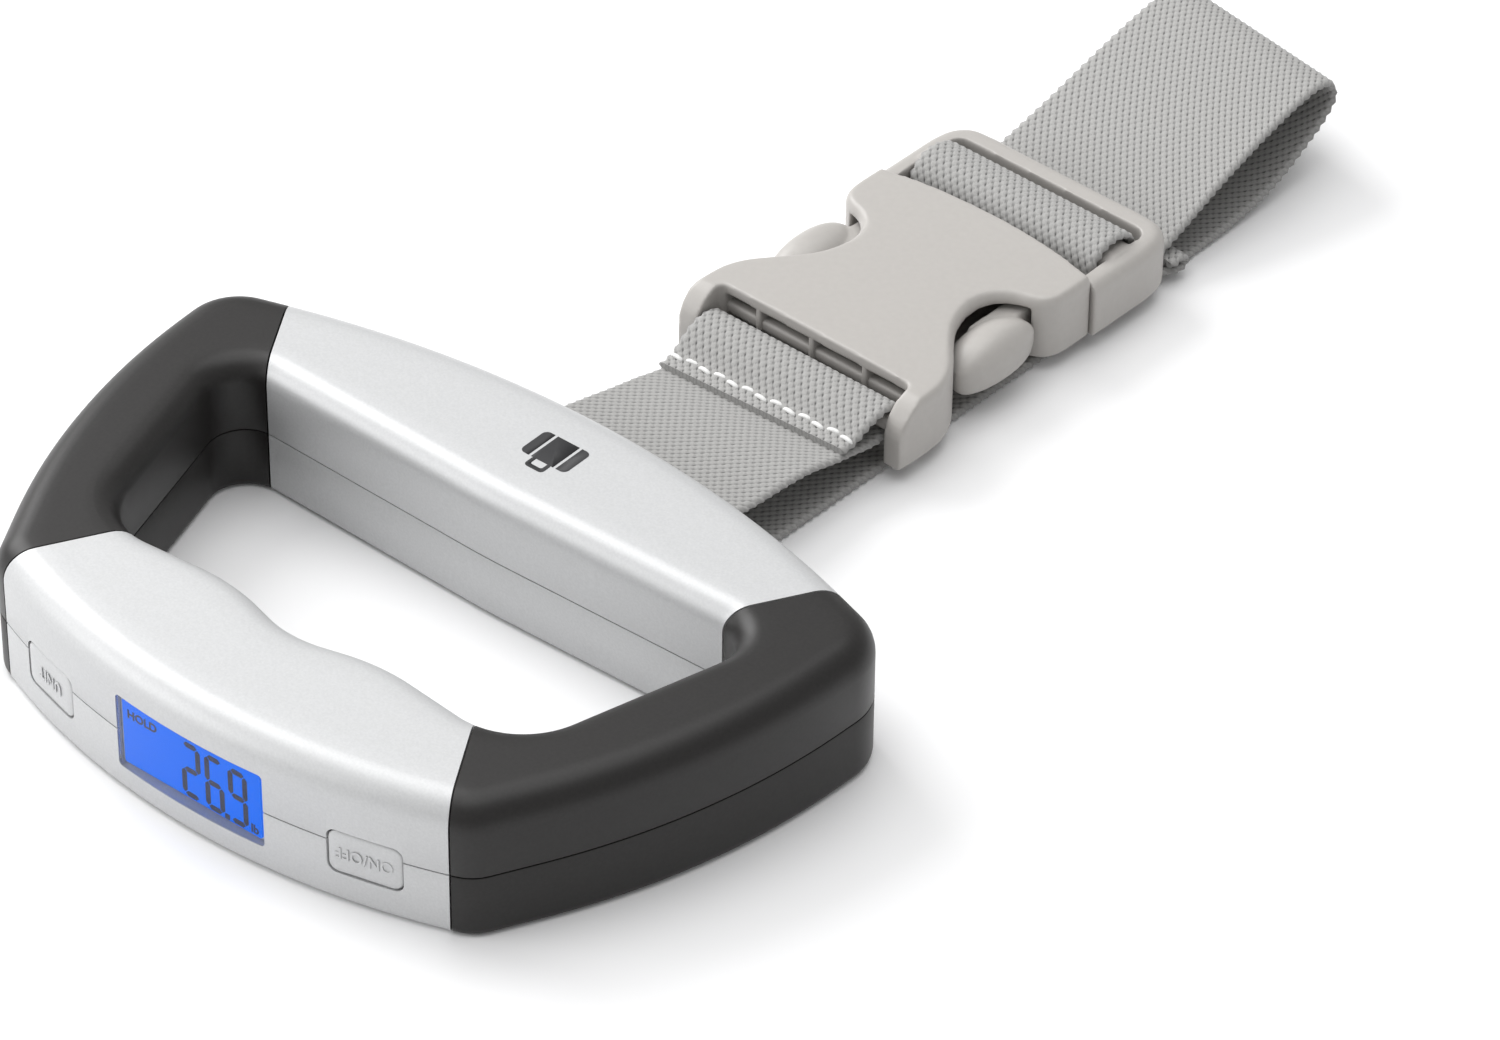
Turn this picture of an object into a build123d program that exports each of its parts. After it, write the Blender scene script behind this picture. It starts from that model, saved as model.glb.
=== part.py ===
"""Digital luggage scale: handle-shaped housing with a display, and a webbing strap with a side-release buckle.

Frame: the origin is on the underside, straight below the strap pin's axis and in the middle of the width.
+X is the scale's right when its display faces you, +Y is towards the strap, +Z is up. Everything is in mm.
"""

import os
from math import atan2, cos, radians, sin, tan

from build123d import *

# ---- housing outline: corners of the plan and the radius that rounds each ----
housing_h = 24.0  # height of the handle
parting_z = 11.2  # height of the seam between the upper and lower halves, and of the strap pin
front_y = -81.9  # foremost point of the front bar
front_rise = 8.5  # the front corner of the plan stands this far before the face it rounds to
front_r = 125.0
front_corner_x = 47.0  # where the front face meets the side
front_corner_y = -72.8
front_corner_r = 7.0
side_x = 64.6  # middle of the side
side_y = -40.5
side_r = 118.0
back_corner_x = 66.9  # where the side meets the back face
back_corner_y = -2.9
back_corner_r = 10.0
back_y = 9.5  # rearmost point of the back bar
back_rise = 8.9
back_r = 182.0
top_round = 5.0  # rounding of the outer top edge
inner_round = 4.0  # rounding of the hand opening's top edge
bottom_round = 1.6  # rounding of the bottom edges

# ---- hand opening: corners of its outline and the radius that rounds each ----
dip_y = -58.7  # middle of the front bar's finger side
dip_r = 20.0
bump_x = 14.5  # finger bumps either side of the dip
bump_y = -54.7
bump_r = 35.0
shoulder_x = 40.6  # where the finger side turns into the arm
shoulder_y = -57.0
shoulder_r = 12.0
hole_corner_x = 52.8  # rear corners
hole_corner_y = -15.5
hole_corner_r = 6.0
hole_back_y = -16.9  # middle of the rear wall
hole_back_r = 160.0

# ---- seams between the painted bars and the rubber grips ----
front_seam_out = (50.3, -85.2)
front_seam_in = (30.6, -51.5)
back_seam_in = (43.5, -18.7)
back_seam_out = (58.9, 7.1)
bulkhead = 2.0  # wall that closes each bar at its seam

# ---- walls ----
wall = 2.2  # wall of the bars, and thickness of the rubber over the arm cores
shoulder_drop = 4.8  # the inside steps in this far below the top, under the rounded edge
shoulder_z = housing_h - shoulder_drop
shoulder_step = 2.4  # how far it steps in
roof = 2.2
tunnel_inset = 4.4  # inset of the wire tunnel that runs through the arms
tunnel_low = 4.4
tunnel_drop = 7.0  # from the top of the handle down to the tunnel
tunnel_high = housing_h - tunnel_drop

# ---- display ----
window_w = 28.8
window_h = 13.4
window_z = 11.3  # centre of the window
fit_gap = 0.2  # gap around the window lens and the buttons
lens_back_y = -79.8
lcd_t = 1.8
lcd_front_y = -79.6
lcd_w = 27.6
lcd_h = 12.2
backlight_t = 2.2
backlight_drop = 1.7  # strip of LCD below the backlight, left for the connector
frame_wall = 1.4
frame_back_y = -72.7

# ---- circuit board, buttons and switches ----
board_w = 76.0
board_low = 3.4
board_drop = 5.4  # from the top of the handle down to the board's top edge
board_high = housing_h - board_drop
board_front_y = -72.6
board_t = 1.6
button_w = 12.0
button_h = 8.0
button_x = 31.0
button_z = 9.5
button_r = 2.0
button_back_y = -75.2
button_travel = 0.5
switch_w = 6.0
switch_t = 1.5
plunger_r = 1.5
plunger_t = 0.5
chip_w = 7.0
chip_t = 1.4
chip_x = 21.2

# ---- battery and its door ----
cell_r = 5.2
cell_len = 44.0
cell_y = -65.6
cell_z = 7.6
nub_r = 1.9
nub_len = 0.8
door_len = 48.0
door_w = 10.4
door_t = 1.6
door_gap = 0.15
door_lift = 0.2  # the door sits this far above the underside
hinge_x = 24.0
hinge_z = 1.1
hinge_r = 0.9
hinge_pin_r = 0.7
hinge_pin_len = 0.8
hinge_clear = 0.05
leaf_depth = 2.4  # how far the bent leaf spring stands off its wall
leaf_half = 3.6
leaf_w = 7.0
leaf_t = 0.3

# ---- load cell, yoke and strap pin ----
web_w = 38.0  # the webbing is 38 mm wide and 1.4 mm thick
web_t = 1.4
pin_r = 2.5  # the pin the webbing is wrapped round
pin_gap = 0.35  # webbing clear of the pin it turns on
wrap_r = pin_r + pin_gap + web_t / 2
cell_beam_len = 64.0
cell_beam_d = 7.0
cell_beam_h = 8.0
wrap_room = 2.25  # room between the wrapped webbing and the yoke's plate
yoke_plate_y = -(wrap_r + web_t / 2 + wrap_room)
cell_beam_y = yoke_plate_y - cell_beam_d / 2 - 0.1
cell_beam_low = 7.0
relief_r = 2.2
relief_x = 12.0
post_x = 28.0
post_r = 3.2
bolt_r = 1.5
bolt_head_r = 2.6
bolt_head_t = 2.0
bolt_start = 3.4
gauge_w = 5.0
gauge_h = 3.0
gauge_t = 0.3
yoke_t = 1.2
yoke_w = web_w + 11.2
yoke_low = 6.0
yoke_high = 16.4
yoke_arm_low = 7.7
yoke_arm_high = 14.7
yoke_reach = 3.3
pin_len = yoke_w + 2.4
yoke_screw_x = 5.0
yoke_screw_r = 1.2
yoke_screw_head_r = 2.2
yoke_screw_head_t = 0.7
yoke_screw_len = 4.5

# ---- housing screws ----
boss_r = 3.0
screw_r = 1.25
screw_head_r = 2.4
screw_head_t = 1.6
screw_recess = 2.6
screw_tip_z = 18.0
front_boss = (33.0, -62.5)
back_boss = (43.0, -4.5)

# ---- strap slot ----
slot_w = web_w + 9.0  # room for the webbing, which lies off centre
slot_low = 4.2
swing_room = 3.35  # room above the wrapped webbing for the strap to swing up
slot_high = parting_z + wrap_r + web_t / 2 + swing_room

# ---- wires ----
wire_r = 0.8

# ---- webbing ----
strap_shift = 2.3  # the strap lies this far off centre at the pin
strap_yaw = 2.3  # and points this many degrees to the right
wrap_stub = 0.2  # the wrap round the pin runs this far past the pin's axis
floor_mid = 0.75  # middle of the webbing that lies on the floor
touch_down = 27.0  # where the lower run meets the floor
split_gap = 0.3
web_bar_s = 51.5
web_bar_z = 8.7
web_bar_half = 1.4
web_play = 0.2
hem_start = 42.0

# ---- buckle ----
buckle_low = 2.3
buckle_high = 14.4
ear_s = 49.0
slot_half = web_w / 2 + 0.9
ear_half = slot_half + 3.7
female_near_s = 56.0
female_far_s = 97.6
female_half = slot_half + 2.3
buckle_edge_r = 2.2
window_s = 79.0
window_r = 8.5
window_x = female_half - 2.2
cavity_near_s = 60.0
cavity_half = female_half - 3.6
cavity_low = 4.4
cavity_high = 12.2
rib_w = 1.2
rib_pitch = 6.2
run_clear = 0.3
half_gap = 0.4  # between the closed halves
male_near_s = female_far_s + half_gap
male_far_s = male_near_s + 19.0
rail_half = web_w / 2 + 0.8
male_half = rail_half + 3.4
male_high = 12.6
male_corner_r = 5.0
male_edge_r = 1.8
mid_bar_s = male_near_s + 7.7
mid_bar_half = 2.7
mid_bar_low = 6.0
mid_bar_high = 10.2
end_bar_s = male_near_s + 14.6
end_bar_low = 5.3
near_wall = 1.6
prong_half_w = 3.6
prong_root = 12.0
prong_tip_s = 73.0
prong_low = 4.8
prong_high = 11.8
pad_s = 79.0
pad_len = 13.0
pad_half = female_half - 0.9
arm_out = cavity_half - 1.0
arm_in = arm_out - 4.0
arm_gap = 0.05
bead_back = 2.4  # the round root of each latch arm sits this far before the frame
flare = 0.5  # room beside the round root for the arm to swing inwards
tongue_half = 3.4
tongue_tip_s = 64.0

# ---- loop of webbing ----
tail_s = male_far_s + 4.0
tail_z = 2.6
split_s = male_far_s + 11.0  # where the lower run ends and the loop begins
run_z = 4.35
loop_tip_s = male_far_s + 49.4
loop_tip_z = 11.0
loop_top_s = male_far_s + 40.0
loop_top_z = 16.0

os.makedirs("parts", exist_ok=True)


# ================= housing plan =================
def turn_at(corners, i):
    """Directions of the two edges that meet at corner i, and the angle turned there."""
    here = Vector(*corners[i])
    arrive = (here - Vector(*corners[i - 1])).normalized()
    leave = (Vector(*corners[(i + 1) % len(corners)]) - here).normalized()
    turn = atan2(arrive.X * leave.Y - arrive.Y * leave.X, arrive.dot(leave))
    return here, arrive, leave, turn


def rounded_outline(corners, radii, inset):
    """Draws a closed outline through rounded corners, moved inwards by inset."""
    moved = []
    for i in range(len(corners)):
        here, arrive, leave, turn = turn_at(corners, i)
        inward = Vector(-arrive.Y, arrive.X) + Vector(-leave.Y, leave.X)
        reach = inset / (1 + arrive.dot(leave))
        moved.append((here.X + inward.X * reach, here.Y + inward.Y * reach))
    last = None
    first = None
    for i, radius in enumerate(radii):
        here, arrive, leave, turn = turn_at(moved, i)
        bend = radius - inset if turn > 0 else radius + inset
        run = bend * tan(abs(turn) / 2)
        start = here - arrive * run
        end = here + leave * run
        to_centre = Vector(-arrive.Y, arrive.X) * (bend if turn > 0 else -bend)
        centre = start + to_centre
        middle = centre + (here - centre).normalized() * bend
        if last is not None:
            Line(last, start)
        ThreePointArc(start, middle, end)
        last = end
        first = first or start
    Line(last, first)


outer_corners = [
    (0, front_y - front_rise),
    (front_corner_x, front_corner_y),
    (side_x, side_y),
    (back_corner_x, back_corner_y),
    (0, back_y + back_rise),
    (-back_corner_x, back_corner_y),
    (-side_x, side_y),
    (-front_corner_x, front_corner_y),
]
outer_radii = [
    front_r,
    front_corner_r,
    side_r,
    back_corner_r,
    back_r,
    back_corner_r,
    side_r,
    front_corner_r,
]
hole_corners = [
    (0, dip_y),
    (bump_x, bump_y),
    (shoulder_x, shoulder_y),
    (hole_corner_x, hole_corner_y),
    (0, hole_back_y),
    (-hole_corner_x, hole_corner_y),
    (-shoulder_x, shoulder_y),
    (-bump_x, bump_y),
]
hole_radii = [
    dip_r,
    bump_r,
    shoulder_r,
    hole_corner_r,
    hole_back_r,
    hole_corner_r,
    shoulder_r,
    bump_r,
]

with BuildSketch() as outline:
    with BuildLine():
        rounded_outline(outer_corners, outer_radii, 0)
    make_face()

with BuildSketch() as hand_hole:
    with BuildLine():
        rounded_outline(hole_corners, hole_radii, 0)
    make_face()

with BuildSketch() as arm_zone:
    with BuildLine():
        Polyline(
            front_seam_out,
            front_seam_in,
            back_seam_in,
            back_seam_out,
            (back_corner_x + 15, back_seam_out[1]),
            (back_corner_x + 15, front_seam_out[1]),
            close=True,
        )
    make_face()
    mirror(about=Plane.YZ)

with BuildSketch() as arm_zone_wide:
    with BuildLine():
        Polyline(
            (front_seam_out[0] - bulkhead * 1.2, front_seam_out[1]),
            (front_seam_in[0] - bulkhead * 1.2, front_seam_in[1]),
            (back_seam_in[0] - bulkhead * 1.2, back_seam_in[1]),
            (back_seam_out[0] - bulkhead * 1.2, back_seam_out[1]),
            (back_corner_x + 15, back_seam_out[1]),
            (back_corner_x + 15, front_seam_out[1]),
            close=True,
        )
    make_face()
    mirror(about=Plane.YZ)

with BuildSketch() as core_plan:
    with BuildLine():
        rounded_outline(outer_corners, outer_radii, wall)
    make_face()

with BuildSketch() as core_hole:
    with BuildLine():
        rounded_outline(hole_corners, hole_radii, -wall)
    make_face()

with BuildSketch() as crown_plan:
    with BuildLine():
        rounded_outline(outer_corners, outer_radii, wall + shoulder_step)
    make_face()

with BuildSketch() as crown_hole:
    with BuildLine():
        rounded_outline(hole_corners, hole_radii, -wall - shoulder_step)
    make_face()

with BuildSketch() as tunnel_plan:
    with BuildLine():
        rounded_outline(outer_corners, outer_radii, tunnel_inset)
    make_face()

with BuildSketch() as tunnel_hole:
    with BuildLine():
        rounded_outline(hole_corners, hole_radii, -tunnel_inset)
    make_face()

# ================= full ring, its inside and its wire tunnel =================
with BuildPart() as ring:
    with BuildSketch():
        add(outline.sketch)
        add(hand_hole.sketch, mode=Mode.SUBTRACT)
    extrude(amount=housing_h)
    ring_top = ring.faces().sort_by(Axis.Z)[-1]
    fillet(ring_top.outer_wire().edges(), radius=top_round)
    ring_top = ring.faces().sort_by(Axis.Z)[-1]
    fillet(ring_top.inner_wires()[0].edges(), radius=inner_round)
    ring_bottom = ring.faces().sort_by(Axis.Z)[0]
    fillet(ring_bottom.outer_wire().edges(), radius=bottom_round)
    ring_bottom = ring.faces().sort_by(Axis.Z)[0]
    fillet(ring_bottom.inner_wires()[0].edges(), radius=bottom_round)

with BuildPart() as core:
    with BuildSketch(Plane.XY.offset(wall)):
        add(core_plan.sketch)
        add(core_hole.sketch, mode=Mode.SUBTRACT)
    extrude(amount=shoulder_z - wall)
    with BuildSketch(Plane.XY.offset(shoulder_z)):
        add(crown_plan.sketch)
        add(crown_hole.sketch, mode=Mode.SUBTRACT)
    extrude(amount=housing_h - roof - shoulder_z)

with BuildPart() as tunnel:
    with BuildSketch(Plane.XY.offset(tunnel_low)):
        add(tunnel_plan.sketch)
        add(tunnel_hole.sketch, mode=Mode.SUBTRACT)
    extrude(amount=tunnel_high - tunnel_low)

with BuildPart() as arm_block:
    with BuildSketch(Plane.XY.offset(-1)):
        add(arm_zone.sketch)
    extrude(amount=housing_h + 2)

with BuildPart() as arm_block_wide:
    with BuildSketch(Plane.XY.offset(-1)):
        add(arm_zone_wide.sketch)
    extrude(amount=housing_h + 2)

with BuildPart() as upper_space:
    with Locations((0, (front_y + back_y) / 2, parting_z)):
        Box(200, 200, 60, align=(Align.CENTER, Align.CENTER, Align.MIN))

with BuildPart() as bar_cavity:
    add(core.part)
    add(arm_block_wide.part, mode=Mode.SUBTRACT)

with BuildPart() as arm_core:
    add(core.part)
    add(arm_block.part, mode=Mode.INTERSECT)

# ================= shared cut-outs of both shells =================
with BuildPart() as face_cuts:
    with Locations((0, lens_back_y, window_z)):
        Box(window_w, 12, window_h)
    with Locations((button_x, button_back_y, button_z), (-button_x, button_back_y, button_z)):
        Box(button_w, 14, button_h)
    fillet(face_cuts.edges().filter_by(Axis.Y), radius=button_r * 0.6)
    with Locations((0, back_y, (slot_low + slot_high) / 2)):
        Box(slot_w, 14, slot_high - slot_low)

with BuildPart() as frame_room:
    with Locations((0, (lcd_front_y + frame_back_y) / 2, window_z)):
        Box(
            window_w + 2 * frame_wall + 0.4,
            frame_back_y - lcd_front_y + 0.4,
            window_h + 2 * frame_wall + 0.4,
        )

with BuildPart() as shell_ring:
    add(ring.part)
    add(arm_block.part, mode=Mode.SUBTRACT)
    add(arm_core.part)
    add(bar_cavity.part, mode=Mode.SUBTRACT)
    add(tunnel.part, mode=Mode.SUBTRACT)
    add(face_cuts.part, mode=Mode.SUBTRACT)
    add(frame_room.part, mode=Mode.SUBTRACT)

boss_spots = [
    (front_boss[0], front_boss[1], 0),
    (-front_boss[0], front_boss[1], 0),
    (back_boss[0], back_boss[1], 0),
    (-back_boss[0], back_boss[1], 0),
]
door_mid_x = hinge_x - door_len / 2

with BuildPart() as bottom_shell:
    add(shell_ring.part)
    add(upper_space.part, mode=Mode.SUBTRACT)
    with Locations(*[(x, y, wall) for x, y, z in boss_spots]):
        Cylinder(boss_r, parting_z - wall, align=(Align.CENTER, Align.CENTER, Align.MIN))
    with Locations((post_x, cell_beam_y, wall), (-post_x, cell_beam_y, wall)):
        Cylinder(post_r, cell_beam_low - wall, align=(Align.CENTER, Align.CENTER, Align.MIN))
    with Locations(*boss_spots):
        Cylinder(screw_r + 0.1, 60, mode=Mode.SUBTRACT)
        Cylinder(screw_head_r + 0.2, 2 * screw_recess, mode=Mode.SUBTRACT)
    with Locations((post_x, cell_beam_y, bolt_start), (-post_x, cell_beam_y, bolt_start)):
        Cylinder(bolt_r, 20, align=(Align.CENTER, Align.CENTER, Align.MIN), mode=Mode.SUBTRACT)
    with Locations((door_mid_x, cell_y, 0)):
        Box(door_len + 2 * door_gap + 1.8, door_w + 2 * door_gap, 2 * wall + 0.4, mode=Mode.SUBTRACT)
    with Locations(Location((hinge_x, cell_y, hinge_z), (90, 0, 0))):
        Cylinder(
            hinge_pin_r + hinge_clear,
            door_w + 2 * door_gap + 2 * hinge_pin_len + 0.2,
            mode=Mode.SUBTRACT,
        )
bottom_shell.part.label = "bottom_shell"

with BuildPart() as top_shell:
    add(shell_ring.part)
    add(upper_space.part, mode=Mode.INTERSECT)
    with Locations(*[(x, y, parting_z) for x, y, z in boss_spots]):
        Cylinder(boss_r, housing_h - roof + 0.3 - parting_z, align=(Align.CENTER, Align.CENTER, Align.MIN))
        Cylinder(
            screw_r, screw_tip_z + 0.4 - parting_z, align=(Align.CENTER, Align.CENTER, Align.MIN), mode=Mode.SUBTRACT
        )
top_shell.part.label = "top_shell"

# ================= rubber grips =================
with BuildPart() as rubber:
    add(ring.part)
    add(arm_block.part, mode=Mode.INTERSECT)
    add(core.part, mode=Mode.SUBTRACT)

with BuildPart() as right_space:
    with Locations((100, 0, 0)):
        Box(200, 400, 400)

with BuildPart() as grip_top_right:
    add(rubber.part)
    add(upper_space.part, mode=Mode.INTERSECT)
    add(right_space.part, mode=Mode.INTERSECT)
grip_top_right.part.label = "grip_top_right"

with BuildPart() as grip_top_left:
    add(rubber.part)
    add(upper_space.part, mode=Mode.INTERSECT)
    add(right_space.part, mode=Mode.SUBTRACT)
grip_top_left.part.label = "grip_top_left"

with BuildPart() as grip_bottom_right:
    add(rubber.part)
    add(upper_space.part, mode=Mode.SUBTRACT)
    add(right_space.part, mode=Mode.INTERSECT)
grip_bottom_right.part.label = "grip_bottom_right"

with BuildPart() as grip_bottom_left:
    add(rubber.part)
    add(upper_space.part, mode=Mode.SUBTRACT)
    add(right_space.part, mode=Mode.SUBTRACT)
grip_bottom_left.part.label = "grip_bottom_left"

# ================= display =================
with BuildPart() as display_lens:
    with BuildSketch(Plane.XY.offset(window_z - window_h / 2 + fit_gap)):
        add(outline.sketch)
        with Locations((0, lens_back_y)):
            Rectangle(
                window_w - 2 * fit_gap, 20, align=(Align.CENTER, Align.MAX), mode=Mode.INTERSECT
            )
    extrude(amount=window_h - 2 * fit_gap)
    fillet(display_lens.edges().filter_by(Axis.Y), radius=0.8)
display_lens.part.label = "display_lens"

with BuildPart() as lcd_panel:
    with Locations((0, lcd_front_y, window_z)):
        Box(lcd_w, lcd_t, lcd_h, align=(Align.CENTER, Align.MIN, Align.CENTER))
lcd_panel.part.label = "lcd_panel"

with BuildPart() as lcd_backlight:
    with Locations((0, lcd_front_y + lcd_t + 0.1, window_z + lcd_h / 2)):
        Box(lcd_w, backlight_t, lcd_h - backlight_drop, align=(Align.CENTER, Align.MIN, Align.MAX))
lcd_backlight.part.label = "lcd_backlight"

with BuildPart() as lcd_frame:
    with BuildSketch(Plane.XZ.offset(-frame_back_y)):
        with Locations((0, window_z)):
            Rectangle(window_w + 2 * frame_wall, window_h + 2 * frame_wall)
            Rectangle(lcd_w + 0.3, lcd_h + 0.3, mode=Mode.SUBTRACT)
    extrude(amount=frame_back_y - lcd_front_y)
    with BuildSketch(Plane.XY.offset(-1)):
        add(core_plan.sketch)
    extrude(amount=60, mode=Mode.INTERSECT)
lcd_frame.part.label = "lcd_frame"

with BuildPart() as zebra_strip:
    with Locations((0, lcd_front_y + lcd_t, window_z - lcd_h / 2)):
        Box(
            24,
            board_front_y - lcd_front_y - lcd_t,
            backlight_drop - 0.3,
            align=(Align.CENTER, Align.MIN, Align.MIN),
        )
zebra_strip.part.label = "zebra_strip"

# ================= circuit board =================
with BuildPart() as circuit_board:
    with Locations((0, board_front_y, board_low)):
        Box(board_w, board_t, board_high - board_low, align=(Align.CENTER, Align.MIN, Align.MIN))
    with Locations(Location((board_w / 2 - 3, board_front_y, board_high - 3), (90, 0, 0))):
        Cylinder(0.9, 10, mode=Mode.SUBTRACT)
circuit_board.part.label = "circuit_board"

with BuildPart() as controller_chip:
    with Locations((chip_x, board_front_y, button_z + 1)):
        Box(chip_w, chip_t, chip_w, align=(Align.CENTER, Align.MAX, Align.CENTER))
controller_chip.part.label = "controller_chip"

with BuildPart() as on_off_switch:
    with Locations((button_x, board_front_y, button_z)):
        Box(switch_w, switch_t, switch_w, align=(Align.CENTER, Align.MAX, Align.CENTER))
    with Locations(Location((button_x, board_front_y - switch_t, button_z), (90, 0, 0))):
        Cylinder(plunger_r, plunger_t, align=(Align.CENTER, Align.CENTER, Align.MIN))
on_off_switch.part.label = "on_off_switch"

with BuildPart() as unit_switch:
    add(on_off_switch.part.mirror(Plane.YZ))
unit_switch.part.label = "unit_switch"

with BuildPart() as on_off_button:
    with BuildSketch(Plane.XZ.offset(-button_back_y)):
        with Locations((button_x, button_z)):
            RectangleRounded(button_w - 2 * fit_gap, button_h - 2 * fit_gap, button_r * 0.6)
    extrude(amount=14)
    with BuildSketch(Plane.XY.offset(-1)):
        add(outline.sketch)
    extrude(amount=60, mode=Mode.INTERSECT)
on_off_button.part.label = "on_off_button"

with BuildPart() as unit_button:
    add(on_off_button.part.mirror(Plane.YZ))
unit_button.part.label = "unit_button"

# ================= battery =================
with BuildPart() as battery_cell:
    with Locations(Location((0, cell_y, cell_z), (0, 90, 0))):
        Cylinder(cell_r, cell_len)
    fillet(battery_cell.edges().filter_by(GeomType.CIRCLE), radius=0.6)
    with Locations(Location((-cell_len / 2, cell_y, cell_z), (0, -90, 0))):
        Cylinder(nub_r, nub_len, align=(Align.CENTER, Align.CENTER, Align.MIN))
battery_cell.part.label = "battery_cell"

with BuildPart() as battery_contact:
    with Locations((-cell_len / 2 - nub_len, cell_y, cell_z)):
        Box(0.4, 8.0, 8.0, align=(Align.MAX, Align.CENTER, Align.CENTER))
battery_contact.part.label = "battery_contact"

with BuildPart() as battery_spring:
    with BuildSketch(Plane.XZ.offset(-cell_y)):
        with BuildLine() as leaf:
            Polyline(
                (cell_len / 2 + leaf_depth, cell_z - leaf_half - 1.0),
                (cell_len / 2 + leaf_depth, cell_z - leaf_half),
                (cell_len / 2 + leaf_t, cell_z - 0.8),
                (cell_len / 2 + leaf_t, cell_z + 0.8),
                (cell_len / 2 + leaf_depth, cell_z + leaf_half),
                (cell_len / 2 + leaf_depth, cell_z + leaf_half + 1.0),
            )
        trace(leaf.line, line_width=leaf_t)
    extrude(amount=leaf_w / 2, both=True)
battery_spring.part.label = "battery_spring"

with BuildPart() as battery_door:
    with Locations((door_mid_x, cell_y, door_lift)):
        Box(door_len, door_w, door_t, align=(Align.CENTER, Align.CENTER, Align.MIN))
    with Locations(Location((hinge_x, cell_y, hinge_z), (90, 0, 0))):
        Cylinder(hinge_r, door_w)
        Cylinder(hinge_pin_r, door_w + 2 * door_gap + 2 * hinge_pin_len)
battery_door.part.label = "battery_door"

# ================= load cell, yoke and pin =================
with BuildPart() as load_cell:
    with Locations((0, cell_beam_y, cell_beam_low)):
        Box(cell_beam_len, cell_beam_d, cell_beam_h, align=(Align.CENTER, Align.CENTER, Align.MIN))
    with Locations((relief_x, cell_beam_y, 0), (-relief_x, cell_beam_y, 0)):
        Cylinder(relief_r, 60, mode=Mode.SUBTRACT)
    with Locations((post_x, cell_beam_y, 0), (-post_x, cell_beam_y, 0)):
        Cylinder(bolt_r, 60, mode=Mode.SUBTRACT)
    with Locations(
        Location((yoke_screw_x, yoke_plate_y, parting_z), (90, 0, 0)),
        Location((-yoke_screw_x, yoke_plate_y, parting_z), (90, 0, 0)),
    ):
        Cylinder(yoke_screw_r, 2 * (yoke_screw_len + 0.3), mode=Mode.SUBTRACT)
load_cell.part.label = "load_cell"

beam_front_y = cell_beam_y - cell_beam_d / 2
with BuildPart() as strain_gauges:
    with Locations((relief_x, beam_front_y, parting_z), (-relief_x, beam_front_y, parting_z)):
        Box(gauge_w, gauge_t, gauge_h, align=(Align.CENTER, Align.MAX, Align.CENTER))
strain_gauges.part.label = "strain_gauges"

beam_top = cell_beam_low + cell_beam_h
with BuildPart() as load_cell_bolts:
    with Locations((post_x, cell_beam_y, bolt_start + 0.2), (-post_x, cell_beam_y, bolt_start + 0.2)):
        Cylinder(bolt_r, beam_top - bolt_start - 0.2, align=(Align.CENTER, Align.CENTER, Align.MIN))
    with Locations((post_x, cell_beam_y, beam_top), (-post_x, cell_beam_y, beam_top)):
        Cylinder(bolt_head_r, bolt_head_t, align=(Align.CENTER, Align.CENTER, Align.MIN))
        with Locations((0, 0, bolt_head_t - 1.0)):
            Box(4.0, 0.8, 2.1, align=(Align.CENTER, Align.CENTER, Align.MIN), mode=Mode.SUBTRACT)
load_cell_bolts.part.label = "load_cell_bolts"

with BuildPart() as pull_yoke:
    with Locations((0, yoke_plate_y, (yoke_low + yoke_high) / 2)):
        Box(yoke_w, yoke_t, yoke_high - yoke_low, align=(Align.CENTER, Align.MIN, Align.CENTER))
    with Locations((0, yoke_plate_y, (yoke_arm_low + yoke_arm_high) / 2)):
        Box(yoke_w, yoke_reach - yoke_plate_y, yoke_arm_high - yoke_arm_low, align=(Align.CENTER, Align.MIN, Align.CENTER))
        with Locations((0, yoke_t, 0)):
            Box(yoke_w - 2 * yoke_t, 60, 60, align=(Align.CENTER, Align.MIN, Align.CENTER), mode=Mode.SUBTRACT)
    with Locations(Location((0, 0, parting_z), (0, 90, 0))):
        Cylinder(pin_r, 80, mode=Mode.SUBTRACT)
    with Locations(
        Location((yoke_screw_x, yoke_plate_y, parting_z), (90, 0, 0)),
        Location((-yoke_screw_x, yoke_plate_y, parting_z), (90, 0, 0)),
    ):
        Cylinder(yoke_screw_r, 6, mode=Mode.SUBTRACT)
pull_yoke.part.label = "pull_yoke"

with BuildPart() as yoke_screws:
    with Locations(
        Location((yoke_screw_x, yoke_plate_y + yoke_t, parting_z), (-90, 0, 0)),
        Location((-yoke_screw_x, yoke_plate_y + yoke_t, parting_z), (-90, 0, 0)),
    ):
        Cylinder(yoke_screw_head_r, yoke_screw_head_t, align=(Align.CENTER, Align.CENTER, Align.MIN))
        Cylinder(yoke_screw_r, yoke_t + yoke_screw_len, align=(Align.CENTER, Align.CENTER, Align.MAX))
yoke_screws.part.label = "yoke_screws"

with BuildPart() as strap_pin:
    with Locations(Location((0, 0, parting_z), (0, 90, 0))):
        Cylinder(pin_r, pin_len)
    chamfer(strap_pin.edges().filter_by(GeomType.CIRCLE), length=0.4)
strap_pin.part.label = "strap_pin"

# ================= housing screws =================
with BuildPart() as housing_screws:
    with Locations(*[(x, y, screw_recess - screw_head_t) for x, y, z in boss_spots]):
        Cylinder(screw_head_r, screw_head_t, align=(Align.CENTER, Align.CENTER, Align.MIN))
        Cylinder(
            screw_r, screw_tip_z - screw_recess + screw_head_t, align=(Align.CENTER, Align.CENTER, Align.MIN)
        )
        Box(3.2, 0.7, 1.6, mode=Mode.SUBTRACT)
        Box(0.7, 3.2, 1.6, mode=Mode.SUBTRACT)
housing_screws.part.label = "housing_screws"

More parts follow.
